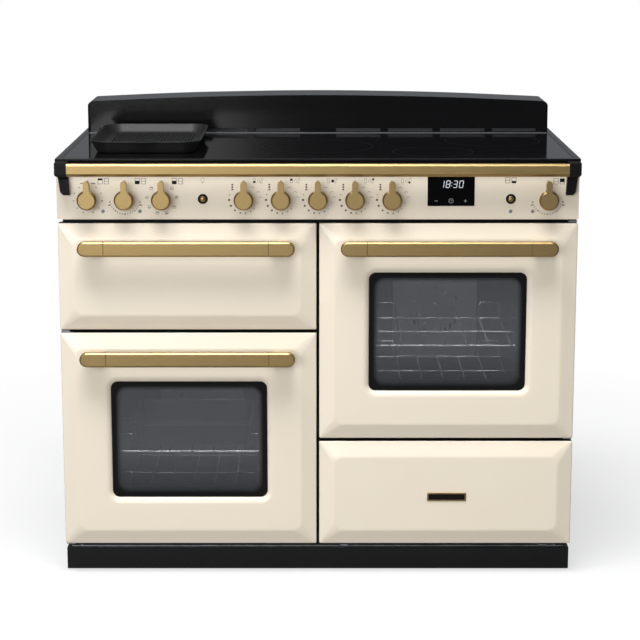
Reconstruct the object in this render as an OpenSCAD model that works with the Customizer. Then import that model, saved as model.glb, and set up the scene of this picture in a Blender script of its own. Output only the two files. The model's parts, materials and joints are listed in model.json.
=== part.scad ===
// Range cooker, 110 cm class: two ovens, a separate grill, a storage drawer and an induction hob.
// X runs to the right, Y to the back and Z up, in millimetres. The origin is on the floor under
// the middle of the whole cooker, handles included. Depths are measured from the hob's front edge.

/* [Fronts] */
// Width of one door or drawer front
front_w = 541; // [500:1:580]
// Height of a tall oven door
oven_door_h = 465; // [430:1:500]
// Height of the grill door and of the drawer front
short_front_h = 228; // [200:1:260]
// Upright gap between the two columns of fronts
column_gap = 6; // [4:0.5:10]
// Gap between two fronts in one column
row_gap = 7; // [5:0.5:12]
// Gap between the upper fronts and the control panel
panel_gap = 8; // [5:0.5:12]
// Distance from the hob's front edge back to the rim of the fronts
front_setback = 3.5; // [0:0.5:10]
// Width of the sloping band around each front
bevel_w = 30; // [20:1:36]
// How far the flat face stands proud of the rim
bevel_rise = 10; // [5:0.5:12]
// Corner radius of the raised face
face_r = 20; // [8:1:30]
// Corner radius of the rim
rim_r = 3; // [1:0.5:6]
// Depth of a front from its rim to the back of its inner pan
front_d = 36; // [34:1:45]
// Depth of the coloured outer pressing behind the rim
pressing_d = 22; // [18:1:26]
// Thickness of the steel sheet
sheet = 2; // [1.5:0.1:2.5]

/* [Oven windows] */
// Width of the glass seen in an oven door
window_w = 332; // [280:1:360]
// Height of the glass seen in an oven door
window_h = 255; // [200:1:280]
// Corner radius of the glass seen
window_r = 15; // [8:1:30]
// Width of the sloping lip around the glass
lip_w = 8; // [4:0.5:12]
// Depth of the sloping lip
lip_d = 8; // [5:0.5:10]
// Thickness of the outer pane
pane_t = 5; // [3:0.5:6]
// Thickness of the inner pane
inner_pane_t = 4; // [3:0.5:5]
// How far a pane reaches past its opening
pane_lap = 12; // [8:1:20]

/* [Handles] */
// Distance from the side of a door's raised face to the end of its handle
handle_side = 14.5; // [4:0.5:40]
// Height of a door handle
handle_h = 31; // [24:1:36]
// Thickness of the grip from front to back
handle_t = 18; // [12:1:22]
// How far the handle stands out from the face of the door
handle_reach = 40; // [34:1:60]
// Length of a handle's end cap
handle_cap = 55; // [40:1:70]
// Chamfer along the grip's edges
handle_chamfer = 3; // [1:0.5:5]
// Distance from the top of a door's raised face to the middle of its handle
handle_drop = 18.5; // [18:0.5:24]

/* [Body] */
// Height of the plinth
plinth_h = 50; // [40:1:100]
// Open height between the plinth and the lowest fronts
kick_gap = 20; // [10:1:30]
// Distance from the hob's front edge back to the plinth
plinth_setback = 36; // [20:1:42]
// How far the plinth's sides reach back
plinth_side = 80; // [40:1:200]
// How far the body's sides lie inside the fronts
side_inset = 6; // [3:0.5:12]
// Depth from the hob's front edge to the back of the cooker
body_d = 608; // [600:1:650]
// Gap between a closed door and the front frame, filled by the seal
seal_gap = 4; // [3:0.5:6]
// Width of the seal
seal_w = 8; // [5:0.5:12]
// Diameter of a rear roller
roller_dia = 40; // [30:1:60]
// Width of a rear roller
roller_w = 24; // [15:1:40]
// Diameter of a levelling foot
foot_dia = 38; // [25:1:50]

/* [Ovens] */
// Width of front frame on each side of an oven
frame_side = 50; // [45:1:70]
// Height of front frame above and below an oven
frame_rail = 38; // [32:1:45]
// Height of front frame above and below the grill
grill_rail = 34; // [30:1:50]
// Depth of the ovens and the grill
cavity_d = 430; // [400:1:440]
// Height of the lower shelf above the oven's floor
shelf_low = 55; // [45:1:70]
// Height from one shelf position to the next
shelf_pitch = 90; // [75:1:95]
// Depth of a wire shelf
shelf_d = 290; // [250:1:330]
// Distance between the rods of a wire shelf
rod_pitch = 47; // [30:1:50]
// Height of the loops at the back of a wire shelf
loop_h = 37; // [20:1:45]
// Width of the cover over the oven fan
fan_cover_w = 195; // [180:1:240]
// Height of the cover over the oven fan
fan_cover_h = 220; // [200:1:260]
// Depth of the cover over the oven fan
fan_cover_d = 38; // [34:1:50]
// Radius of the round group of louvres
louvre_r = 58; // [40:1:70]
// Distance from one louvre to the next
louvre_pitch = 12; // [9:0.5:16]
// How far the fan lies below the middle of the oven
fan_drop = 42; // [0:1:50]
// Diameter of the fan wheel
fan_dia = 116; // [80:1:130]
// Length of the roasting tin, side to side
tin_w = 258; // [200:1:300]
// Height of the roasting tin
tin_h = 46; // [30:1:60]

/* [Drawer] */
// Distance from the side of the drawer's front to the side of its box
drawer_side = 55.5; // [50:0.5:80]
// Depth of the drawer's box
drawer_d = 400; // [340:1:430]
// Height of the drawer's box
drawer_h = 140; // [100:1:150]

/* [Control panel] */
// Height of the control panel
panel_h = 105; // [100:1:120]
// Height of the knobs above the panel's lower edge
knob_rise = 43; // [38:0.5:50]
// Distance from one knob to the next in a group
knob_pitch = 77; // [68:0.5:82]
// Distance from the panel's end to the outermost knob
end_knob_in = 65; // [58:0.5:74]
// Radius of a knob's flat face
knob_face_r = 17.5; // [14:0.5:20]
// Radius of a knob's rim behind its face
knob_rim_r = 20.5; // [18:0.5:24]
// Depth of a knob
knob_d = 31; // [24:0.5:34]
// Width of a knob's pointer lever
lever_w = 12.6; // [8:0.2:16]
// Length of a knob's pointer lever from the knob's axis
lever_l = 40; // [30:0.5:42]
// Diameter of a knob's spindle
spindle_dia = 6; // [5:0.5:8]
// Diameter of a push button
button_dia = 12.6; // [10:0.2:18]
// Travel of a push button
button_travel = 3; // [1:0.5:5]
// Width of the clock's glass
clock_w = 98; // [80:1:110]
// Height of the clock's glass
clock_h = 62; // [50:1:66]
// Distance from the panel's right end to the middle of the clock
clock_in = 266.5; // [255:0.5:275]
// Height of the clock's lower edge above the panel's lower edge
clock_rise = 28; // [22:1:32]

/* [Hob] */
// How far the hob overhangs the fronts on each side
hob_overhang = 2; // [0:0.5:10]
// Thickness of the hob's edge trim
hob_edge_h = 22; // [18:1:30]
// Width of the trim beside the glass
hob_side_trim = 14; // [10:0.5:20]
// Width of the trim in front of the glass
hob_front_trim = 12; // [10:0.5:20]
// Thickness of the ceramic glass
glass_t = 6; // [4:0.5:8]
// Distance from the hob's front edge back to the rear upstand
upstand_y = 482; // [470:1:490]
// Height of the rear upstand at the middle
upstand_h = 88; // [60:1:110]
// Rise of the upstand's arched top from its ends to its middle
upstand_arch = 14; // [6:1:25]
// Distance from the hob's side edge to the upstand
upstand_inset = 13.75; // [10:0.25:30]
// Radius of the upstand's upper corners
upstand_r = 20; // [10:1:30]
// Height of the vent slots at the upstand's foot
slot_h = 7; // [4:0.5:10]
// Distance from the middle of the upstand to its nearest vent slot
slot_mid = 41.5; // [20:0.5:60]
// Distance from the side of the upstand to its nearest vent slot
slot_edge = 26; // [20:0.5:50]
// Width of the posts between the vent slots
slot_post = 17; // [8:0.5:30]

/* [Hand rail] */
// Height of the hand rail's bar
rail_h = 27; // [20:1:32]
// Thickness of the hand rail's bar
rail_t = 16; // [10:1:20]
// How far the rail stands out from the hob's front edge
rail_reach = 40; // [32:1:50]
// Distance from the hob's side edge to the visible end of the rail
rail_inset = 28; // [24:1:40]
// Distance from the hob's top down to the top of the rail
rail_drop = 6; // [2:0.5:10]

/* [Griddle] */
// Width of the griddle
griddle_w = 239; // [200:1:260]
// Depth of the griddle
griddle_d = 365; // [300:1:390]
// Height of the griddle's rim above the hob
griddle_h = 27; // [18:1:40]
// Taper of the griddle's walls from rim to base
griddle_taper = 16; // [12:1:34]
// Distance from the hob's front edge back to the griddle
griddle_front = 78; // [60:1:90]
// Distance from the side of the glass to the middle of the griddle
griddle_in = 164.5; // [150:0.5:180]
// Distance from one rib to the next
rib_pitch = 9; // [7:0.5:14]

/* [Hidden] */

$fn = 48;
// Gap between a curved piece and the seat that it rests on, or between moving flat faces
gap = 0.3;
// Radial clearance of a shaft that turns in a bore
run_fit = 0.05;
// Small overlap that makes two solids of one piece join
join = 0.4;
// Excess of a cutter past the face that it cuts
cut = 1;
// Thickness of the thin plates that a sloping form spans
slice = 0.5;

// Sizes across the cooker
hob_w = 2 * front_w + column_gap + 2 * hob_overhang;
column_x = (front_w + column_gap) / 2;
panel_w = 2 * front_w + column_gap;
side_x = panel_w / 2 - side_inset;
upstand_w = hob_w - 2 * upstand_inset;
cavity_w = front_w - 2 * frame_side;
drawer_w = front_w - 2 * drawer_side;
side_flange = 20;

// Heights from the floor
lower_z = plinth_h + kick_gap;
grill_z = lower_z + oven_door_h + row_gap;
right_oven_z = lower_z + short_front_h + row_gap;
fronts_top = grill_z + short_front_h;
panel_z = fronts_top + panel_gap;
hob_under = panel_z + panel_h;
hob_top = hob_under + hob_edge_h;
knob_z = panel_z + knob_rise;
cavity_h = oven_door_h - 2 * frame_rail;
grill_cavity_h = short_front_h - 2 * grill_rail;
frame_z = plinth_h + 5;

// Depths from the hob's front edge
rim_y = front_setback;
face_y = rim_y - bevel_rise;
door_back_y = rim_y + front_d;
frame_y = door_back_y + seal_gap;
cavity_y = frame_y + sheet;
cavity_back_y = cavity_y + cavity_d;
panel_y = 1;
handle_front_y = face_y - handle_reach;
front_reach = max(-handle_front_y, rail_reach);
origin_y = (body_d - front_reach) / 2;

// Inner pan of a door
pan_front_y = rim_y + pressing_d - 6;
pan_edge = sheet + gap;

// Side hinges of the oven doors
hinge_pin_r = 4;
hinge_in = 10;
hinge_y = door_back_y - 20;
hinge_depth = 14;
hinge_plate_t = 3;
hinge_plate_w = 18;
hinge_plate_gap = 0.5;
hinge_half_d = 8;

// Lower hinges of the grill door
ear_w = 8;
ear_r = 6.5;
ear_pin_r = 3;
ear_in = 45;
ear_slack = 1.5;
ear_lug = 8;
ear_lug_up = 6;
ear_lug_front = 3.9;
ear_back = 6;
ear_up = 12;
grill_hinge_y = rim_y + ear_back;
grill_hinge_z = grill_z + ear_up;

// Hob well, under the glass
glass_x = hob_w / 2 - hob_side_trim;
glass_slack = 0.5;
ledge = 10;
well_d = 40;
well_floor_z = hob_under - well_d;
well_x = side_x - side_flange - 2;
well_y = [cavity_y + 5, upstand_y - ledge];

// Places of the knobs, buttons and lights
end_knob_x = panel_w / 2 - end_knob_in;
knob_x = [for (i = [0:2]) -end_knob_x + i * knob_pitch,
          for (i = [-2:2]) i * knob_pitch,
          end_knob_x];
button_x = [(knob_x[2] + knob_x[3]) / 2, end_knob_x - knob_pitch];
clock_x = panel_w / 2 - clock_in;
light_side = 31;
light_drop = 26;
light_x = [knob_x[0] + light_side, knob_x[1] + light_side, button_x[1], knob_x[8] - light_side];
light_z = knob_z - light_drop;
light_r = 3.5;
spindle_r = spindle_dia / 2;
knob_gap = 1;
switch_d = 24;
bezel_out = 2.5;
bezel_wall = 3.4;
bezel_barrel = 14;

// Griddle, over the two left cooking zones
griddle_x = -(glass_x - griddle_in);
griddle_y = griddle_front + griddle_d / 2;

// Cooking zones: distance right of the middle, distance behind the hob's front edge, diameter
zones = [
  [0, upstand_y - 259, 241],
  [glass_x - 287, 122, 171],
  [glass_x - 142, upstand_y - 157, 212],
  [griddle_x, griddle_y - 100, 190],
  [griddle_x, griddle_y + 100, 190]
];

// Shelves
shelf_wire_r = 3;
rod_r = 1.75;
ladder_wire_r = 2.5;
ladder_in = 7.6;
ladder_pair = 16;
shelf_in = 9.2;
shelf_y = cavity_y + 15;
shelf_levels = [0, 1];
ladder_top = 20;
ladder_last = floor((cavity_h - shelf_low - ladder_pair - ladder_top) / shelf_pitch);
loop_w = 48;
loop_x = 119;
tin_wall = 1.5;

// Drawer slides
slide_z = lower_z + 34;
slide_h = 8;
slide_w = 6;
slide_play = 2;
drawer_z = lower_z + 18;
drawer_room = 6;

// ---------------------------------------------------------------- helpers

// Moves depths that start at the hob's front edge into the part's own frame
module from_front() {
  translate([0, -origin_y, 0]) children();
}

// Box between two corners, given as ranges in x, y and z
module block(x, y, z) {
  translate([x[0], y[0], z[0]]) cube([x[1] - x[0], y[1] - y[0], z[1] - z[0]]);
}

// Shape drawn in X and Z, made solid between two depths
module upright(y0, y1) {
  translate([0, y1, 0]) rotate([90, 0, 0]) linear_extrude(y1 - y0) children();
}

// Shape drawn in Y and Z, made solid between two places across the cooker
module sideways(x0, x1) {
  translate([x0, 0, 0]) rotate([90, 0, 90]) linear_extrude(x1 - x0) children();
}

// Rectangle with round corners between two corners
module round_rect(x, z, r) {
  translate([x[0] + r, z[0]]) square([x[1] - x[0] - 2 * r, z[1] - z[0]]);
  translate([x[0], z[0] + r]) square([x[1] - x[0], z[1] - z[0] - 2 * r]);
  for (cx = [x[0] + r, x[1] - r], cz = [z[0] + r, z[1] - r])
    translate([cx, cz]) circle(r);
}

// Straight round bar along Y
module bar_y(x, y0, y1, z, r) {
  translate([x, y0, z]) rotate([-90, 0, 0]) cylinder(h = y1 - y0, r = r);
}

// Straight round bar along X
module bar_x(x0, x1, y, z, r) {
  translate([x0, y, z]) rotate([0, 90, 0]) cylinder(h = x1 - x0, r = r);
}

// Straight round bar along Z
module bar_z(x, y, z0, z1, r) {
  translate([x, y, z0]) cylinder(h = z1 - z0, r = r);
}

// Turned shape about an axis along Y: points are radius and depth
module turned(x, y, z) {
  translate([x, y, z]) rotate([-90, 0, 0]) rotate_extrude() children();
}

// The same range made smaller or larger at both ends
function grow(range, by) = [range[0] - by, range[1] + by];
function around(centre, size) = [centre - size / 2, centre + size / 2];

// Place of a front: side is -1 for the left column and 1 for the right one
function front_x(side) = around(side * column_x, front_w);
function front_z(z0, h) = [z0, z0 + h];
oven_z = [[lower_z, lower_z + oven_door_h], [right_oven_z, right_oven_z + oven_door_h]];

// ---------------------------------------------------------------- doors and drawer front

// Outer form of a front: straight sides, a sloping band and a raised flat face
module front_form(x, z, inset) {
  depth = inset > 0 ? pressing_d + cut : pressing_d;
  translate([0, inset, 0]) {
    upright(rim_y, rim_y + depth - inset) round_rect(grow(x, -inset), grow(z, -inset), rim_r);
    hull() {
      upright(rim_y, rim_y + slice)
        round_rect(grow(x, -inset), grow(z, -inset), rim_r, $fn = 16);
      upright(face_y, face_y + slice)
        round_rect(grow(x, -bevel_w), grow(z, -bevel_w), face_r, $fn = 32);
    }
  }
}

// Pressed outer shell of a front
module pressing(x, z) {
  difference() {
    front_form(x, z, 0);
    front_form(x, z, sheet);
  }
}

// Window of an oven door in x and z
function window_x(x) = around((x[0] + x[1]) / 2, window_w);
function window_z(z) = around((z[0] + z[1]) / 2, window_h);

// Pressed shell with a window and its sloping lip
module window_pressing(x, z) {
  wx = window_x(x);
  wz = window_z(z);
  difference() {
    union() {
      pressing(x, z);
      upright(face_y + sheet / 2, face_y + lip_d)
        round_rect(grow(wx, lip_w + sheet), grow(wz, lip_w + sheet), window_r + lip_w);
    }
    hull() {
      upright(face_y - cut, face_y)
        round_rect(grow(wx, lip_w), grow(wz, lip_w), window_r + lip_w, $fn = 32);
      upright(face_y + lip_d, face_y + lip_d + cut)
        round_rect(wx, wz, window_r, $fn = 32);
    }
  }
}

// Panes of an oven door: one behind the lip and one on the inner pan
module panes(x, z) {
  wx = window_x(x);
  wz = window_z(z);
  upright(face_y + lip_d, face_y + lip_d + pane_t)
    round_rect(grow(wx, pane_lap), grow(wz, pane_lap), window_r);
  upright(door_back_y - sheet - inner_pane_t, door_back_y - sheet)
    round_rect(grow(wx, pane_lap), grow(wz, pane_lap), window_r);
}

// Inner pan that closes the back of a door
module pan(x, z) {
  px = grow(x, -pan_edge);
  pz = grow(z, -pan_edge);
  difference() {
    upright(pan_front_y, door_back_y) round_rect(px, pz, rim_r);
    upright(pan_front_y - cut, door_back_y - sheet)
      round_rect(grow(px, -sheet), grow(pz, -sheet), rim_r);
  }
}

// Handle: a grip between two end caps that stand on the door
module handle(x, z_top) {
  z = z_top - bevel_w - handle_drop;
  hx = grow(x, -bevel_w - handle_side);
  r = handle_h / 2;
  c = handle_chamfer;
  post_in = 1;
  y0 = handle_front_y;
  y1 = y0 + handle_t;
  section = [[0, 0], [r - c, 0], [r, c], [r, handle_t - c], [r - c, handle_t], [0, handle_t]];
  whole = concat(section, [for (i = [4:-1:1]) [-section[i][0], section[i][1]]]);
  // Grip
  sideways(hx[0] + handle_cap, hx[1] - handle_cap)
    translate([y0, z]) mirror([1, -1]) polygon(whole);
  // End caps with their posts
  for (end = [0, 1]) {
    out = end == 0 ? -1 : 1;
    turn_x = hx[end] - out * r;
    inner_x = hx[end] - out * (handle_cap - gap);
    union() {
      sideways(min(turn_x, inner_x), max(turn_x, inner_x))
        translate([y0, z]) mirror([1, -1]) polygon(whole);
      translate([turn_x, y0, z]) rotate([-90, 0, 0])
        rotate([0, 0, out < 0 ? 90 : -90]) rotate_extrude(angle = 180) polygon(section);
      upright(y1 - c - join, face_y) {
        translate([turn_x, z]) circle(r - post_in);
        translate([min(turn_x, inner_x), z - r + post_in])
          square([abs(turn_x - inner_x), 2 * (r - post_in)]);
      }
    }
  }
}

// Bushes in an inner pan for the side hinge pins
module hinge_bushes(x, z, side) {
  hx = side_hinge_x(x, side);
  intersection() {
    for (end = [0, 1]) {
      top = end == 1 ? z[1] - pan_edge : z[0] + pan_edge + hinge_depth;
      block(around(hx, 2 * (hinge_in - pan_edge)), around(hinge_y, 2 * hinge_half_d),
            [top - hinge_depth, top]);
    }
    upright(pan_front_y, door_back_y) round_rect(grow(x, -pan_edge), grow(z, -pan_edge), rim_r);
  }
}

// Axis of a side hinge: on the outer side of the door
function side_hinge_x(x, side) = side < 0 ? x[0] + hinge_in : x[1] - hinge_in;

module oven_door_panel(side) {
  x = front_x(side);
  z = oven_z[side < 0 ? 0 : 1];
  difference() {
    window_pressing(x, z);
    bar_z(side_hinge_x(x, side), hinge_y, z[0] - cut, z[1] + cut, hinge_pin_r + cut);
  }
}

module oven_door_liner(side) {
  x = front_x(side);
  z = oven_z[side < 0 ? 0 : 1];
  difference() {
    union() {
      pan(x, z);
      hinge_bushes(x, z, side);
    }
    upright(door_back_y - sheet - cut, door_back_y + cut)
      round_rect(window_x(x), window_z(z), window_r);
    bar_z(side_hinge_x(x, side), hinge_y, z[0] - cut, z[1] + cut, hinge_pin_r + run_fit);
  }
}

// Places of the grill door's two hinge ears
function ear_x() = [front_x(-1)[0] + ear_in, front_x(-1)[1] - ear_in];

// Room for a hinge ear to swing in the grill door
module ear_slots(y0) {
  for (x = ear_x())
    block(around(x, ear_w + 2 * ear_slack), [y0, door_back_y + cut],
          [grill_z - cut, grill_hinge_z + ear_r + ear_slack]);
}

module grill_door_panel() {
  color("oldlace") from_front() difference() {
    pressing(front_x(-1), front_z(grill_z, short_front_h));
    ear_slots(rim_y + sheet);
  }
}

module grill_door_liner() {
  color("dimgray") from_front() difference() {
    union() {
      pan(front_x(-1), front_z(grill_z, short_front_h));
      for (x = ear_x(), out = [-1, 1])
        block(around(x + out * (ear_w / 2 + ear_slack + ear_lug / 2), ear_lug),
              [grill_hinge_y - ear_lug_front, door_back_y - sheet / 2],
              [grill_z + pan_edge, grill_hinge_z + ear_lug_up]);
    }
    ear_slots(grill_hinge_y - ear_r - ear_slack);
    bar_x(front_x(-1)[0] + sheet + cut, front_x(-1)[1] - sheet - cut,
          grill_hinge_y, grill_hinge_z, ear_pin_r + run_fit);
  }
}

module grill_door_handle() {
  color("darkgoldenrod") from_front() handle(front_x(-1), fronts_top);
}

module left_oven_door_panel() { color("oldlace") from_front() oven_door_panel(-1); }
module right_oven_door_panel() { color("oldlace") from_front() oven_door_panel(1); }
module left_oven_door_glass() { color("slategray", 0.5) from_front() panes(front_x(-1), oven_z[0]); }
module right_oven_door_glass() { color("slategray", 0.5) from_front() panes(front_x(1), oven_z[1]); }
module left_oven_door_liner() { color("dimgray") from_front() oven_door_liner(-1); }
module right_oven_door_liner() { color("dimgray") from_front() oven_door_liner(1); }
module left_oven_door_handle() { color("darkgoldenrod") from_front() handle(front_x(-1), oven_z[0][1]); }
module right_oven_door_handle() { color("darkgoldenrod") from_front() handle(front_x(1), oven_z[1][1]); }

module drawer_front() {
  color("oldlace") from_front() pressing(front_x(1), front_z(lower_z, short_front_h));
}

// Drawer: a backing plate inside the front, an open box and a slide strip on each side
module drawer_box() {
  x = around(column_x, drawer_w);
  plate_y = [rim_y + pressing_d - sheet, rim_y + pressing_d];
  back_y = plate_y[1] + drawer_d;
  color("dimgray") from_front() {
    upright(plate_y[0], plate_y[1])
      round_rect(grow(front_x(1), -pan_edge), grow(front_z(lower_z, short_front_h), -pan_edge), rim_r);
    difference() {
      block(x, [plate_y[1] - join, back_y], [drawer_z, drawer_z + drawer_h]);
      block(grow(x, -sheet), [plate_y[1] + sheet, back_y - sheet],
            [drawer_z + sheet, drawer_z + drawer_h + cut]);
    }
    for (out = [-1, 1])
      block(around(column_x + out * (drawer_w + slide_w) / 2, slide_w + join),
            [frame_y + 5, back_y], [slide_z, slide_z + slide_h]);
  }
}

// ---------------------------------------------------------------- body

// Side panel: sheet with inward flanges at front, back, top and bottom
module side_panel(side) {
  outer = side * side_x;
  inner = side * (side_x - sheet);
  lip = side * (side_x - side_flange);
  y = [cavity_y, body_d - sheet];
  z = [plinth_h + sheet, hob_under];
  block([min(outer, inner), max(outer, inner)], y, z);
  for (fy = [[y[0], y[0] + sheet], [y[1] - sheet, y[1]]])
    block([min(outer, lip), max(outer, lip)], fy, z);
  for (fz = [[z[0], z[0] + sheet], [z[1] - sheet, z[1]]])
    block([min(outer, lip), max(outer, lip)], y, fz);
}

module side_panel_left() { color("black") from_front() side_panel(-1); }
module side_panel_right() { color("black") from_front() side_panel(1); }

// Back panel with two groups of cooling louvres
module back_panel() {
  slots = 9;
  slot_l = 160;
  slot_w = 6;
  slot_step = 22;
  top_slot_z = hob_under - 90;
  color("silver") from_front() difference() {
    block([-side_x, side_x], [body_d - sheet, body_d], [plinth_h + sheet, hob_under]);
    for (side = [-1, 1], i = [0:slots - 1])
      upright(body_d - sheet - cut, body_d + cut)
        round_rect(around(side * column_x, slot_l), around(top_slot_z - i * slot_step, slot_w),
                   slot_w / 2 - 0.1);
    bar_y(terminal_x, body_d - sheet - cut, body_d + cut, terminal_z, cable_r + cable_wall + gap);
  }
}

// Base pan with upturned edges, holes for the feet and forks for the rollers
foot_x = side_x - 80;
foot_y = cavity_y + 60;
foot_stud_r = 5;
roller_y = body_d - 70;
roller_r = roller_dia / 2;
axle_r = 4;
fork_t = 3;
fork_w = 24;
fork_under = 4;
module base_frame() {
  edge = 18;
  edge_x = side_x - side_flange - 3;
  y = [cavity_y, body_d - 2 * sheet];
  z = [plinth_h, plinth_h + sheet];
  color("dimgray") from_front() {
    difference() {
      block([-side_x + sheet, side_x - sheet], y, z);
      for (side = [-1, 1])
        bar_z(side * foot_x, foot_y, z[0] - cut, z[1] + cut, foot_stud_r + run_fit);
    }
    for (side = [-1, 1])
      block(around(side * edge_x, sheet), y, [z[0], z[0] + edge]);
    block([-edge_x, edge_x], [y[1] - sheet, y[1]], [z[0], z[0] + edge]);
    for (side = [-1, 1]) {
      for (out = [-1, 1])
        block(around(side * foot_x + out * (roller_w / 2 + gap + fork_t / 2), fork_t),
              around(roller_y, fork_w), [roller_r - axle_r - fork_under, z[0] + join]);
      bar_x(side * foot_x - roller_w / 2 - gap - fork_t, side * foot_x + roller_w / 2 + gap + fork_t,
            roller_y, roller_r, axle_r);
    }
  }
}

module rear_rollers() {
  color("black") from_front() for (side = [-1, 1]) difference() {
    bar_x(side * foot_x - roller_w / 2, side * foot_x + roller_w / 2, roller_y, roller_r, roller_r);
    bar_x(side * foot_x - roller_w / 2 - cut, side * foot_x + roller_w / 2 + cut,
          roller_y, roller_r, axle_r + run_fit);
  }
}

module levelling_feet() {
  pad_h = 6;
  collar_h = 14;
  collar_r = foot_stud_r + 5;
  nut_h = 6;
  nut_r = foot_stud_r + 4;
  stud_up = 14;
  color("black") from_front() for (side = [-1, 1]) translate([side * foot_x, foot_y, 0]) {
    cylinder(h = pad_h, d = foot_dia);
    cylinder(h = collar_h, r = collar_r);
    cylinder(h = plinth_h + stud_up, r = foot_stud_r);
    translate([0, 0, plinth_h - nut_h]) cylinder(h = nut_h, r = nut_r, $fn = 6);
  }
}

// Front frame: one plate with an opening for each oven, the grill and the drawer
function opening_x(side) = around(side * column_x, cavity_w);
function opening_z(i) = grow(oven_z[i], -frame_rail);
grill_opening_z = grow(front_z(grill_z, short_front_h), -grill_rail);
module front_frame() {
  color("black") from_front() difference() {
    upright(frame_y, frame_y + sheet) square_range([-side_x, side_x], [frame_z, hob_under]);
    upright(frame_y - cut, frame_y + sheet + cut) {
      square_range(opening_x(-1), opening_z(0));
      square_range(opening_x(1), opening_z(1));
      square_range(opening_x(-1), grill_opening_z);
      square_range(around(column_x, drawer_w + 2 * (slide_w + slide_play)),
                   [drawer_z - drawer_room, drawer_z + drawer_h + drawer_room]);
    }
  }
}
module square_range(x, z) {
  translate([x[0], z[0]]) square([x[1] - x[0], z[1] - z[0]]);
}

module plinth() {
  w = hob_w / 2;
  y = plinth_setback;
  z = [2, plinth_h];
  color("black") from_front() {
    block([-w, w], [y, y + sheet], z);
    block([-w, w], [y, cavity_y + 20], [z[1] - sheet, z[1]]);
    for (side = [-1, 1])
      block(around(side * (w - sheet / 2), sheet), [y, y + plinth_side], z);
  }
}

// Box open at the front, with a flange that meets the front frame
module cavity(x, z) {
  difference() {
    block(grow(x, sheet), [cavity_y, cavity_back_y + sheet], grow(z, sheet));
    block(x, [cavity_y - cut, cavity_back_y], z);
    children();
  }
}

function fan_z(i) = (oven_z[i][0] + oven_z[i][1]) / 2 - fan_drop;
fan_shaft_r = 4;
lamp_r = 20;
function lamp_x(side) = side * column_x - side * (cavity_w / 2 - 60);
function lamp_z(i) = opening_z(i)[1] - 55;

module oven_cavity(side) {
  i = side < 0 ? 0 : 1;
  cavity(opening_x(side), opening_z(i)) {
    bar_y(side * column_x, cavity_back_y - cut, cavity_back_y + sheet + cut, fan_z(i), fan_shaft_r + 3);
    bar_y(lamp_x(side), cavity_back_y - cut, cavity_back_y + sheet + cut, lamp_z(i), lamp_r - 4);
  }
}

module left_oven_cavity() { color("darkslategray") from_front() oven_cavity(-1); }
module right_oven_cavity() { color("darkslategray") from_front() oven_cavity(1); }

// Grill compartment with a ledge on each side for the grill pan
ledge_w = 10;
ledge_z = grill_opening_z[0] + 55;
module grill_cavity() {
  x = opening_x(-1);
  color("darkslategray") from_front() {
    cavity(x, grill_opening_z);
    for (side = [0, 1])
      block(side == 0 ? [x[0] - join, x[0] + ledge_w] : [x[1] - ledge_w, x[1] + join],
            [cavity_y + 20, cavity_back_y - 30], [ledge_z - 6, ledge_z]);
  }
}

// Grill element under the grill's roof and a ring element round each oven fan
element_r = 4;
ring_r = 76;
module heating_elements() {
  passes = 6;
  pitch = 50;
  top = grill_opening_z[1];
  z = top - 22;
  y = [cavity_y + 60, cavity_back_y - 60];
  x0 = -column_x - (passes - 1) * pitch / 2;
  color("silver") from_front() {
    for (i = [0:passes - 1]) {
      last = i == 0 || i == passes - 1;
      bar_y(x0 + i * pitch, y[0], last ? cavity_back_y - gap : y[1], z, element_r);
    }
    for (i = [0:passes - 2])
      translate([x0 + (i + 0.5) * pitch, i % 2 == 0 ? y[0] : y[1], z])
        rotate([0, 0, i % 2 == 0 ? 180 : 0]) rotate_extrude(angle = 180)
          translate([pitch / 2, 0]) circle(element_r, $fn = 24);
    for (i = [1, 3])
      bar_z(x0 + i * pitch, (y[0] + y[1]) / 2, z, top - gap, element_r - 1);
    for (side = [-1, 1]) translate([side * column_x, cavity_back_y - 18, fan_z(side < 0 ? 0 : 1)]) {
      rotate([90, 0, 0]) rotate_extrude($fn = 64) translate([ring_r, 0]) circle(element_r, $fn = 24);
      for (out = [-1, 1])
        translate([out * 12, 0, -ring_r + 1]) rotate([-90, 0, 0]) cylinder(h = 18 - gap, r = element_r - 1);
    }
  }
}

// Wire ladders on both side walls of each oven: hairpins on two upright wires
module ladder(wall_x, inward, floor_z) {
  ys = [shelf_y + 20, shelf_y + shelf_d + 10];
  rung_x = wall_x + inward * ladder_in;
  post_x = wall_x + inward * (ladder_wire_r + gap);
  r = ladder_wire_r;
  for (y = [ys[0] + 20, ys[1] - 20])
    bar_z(post_x, y, floor_z + 20, floor_z + shelf_low + ladder_last * shelf_pitch + ladder_pair + 12, r);
  for (i = [0:ladder_last]) {
    z = floor_z + shelf_low + i * shelf_pitch;
    bar_y(rung_x, ys[0], ys[1], z, r);
    bar_y(rung_x, ys[0], ys[1], z + ladder_pair, r);
    translate([rung_x, ys[1], z + ladder_pair / 2]) rotate([0, 90, 0]) rotate_extrude(angle = 180)
      translate([ladder_pair / 2, 0]) circle(r, $fn = 20);
    for (y = [ys[0] + 20, ys[1] - 20], dz = [0, ladder_pair])
      bar_x(min(post_x, rung_x), max(post_x, rung_x), y, z + dz, r - 0.5);
  }
}

module shelf_supports() {
  color("silver") from_front() for (i = [0, 1]) {
    side = 2 * i - 1;
    ladder(opening_x(side)[0], 1, opening_z(i)[0]);
    ladder(opening_x(side)[1], -1, opening_z(i)[0]);
  }
}

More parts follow.
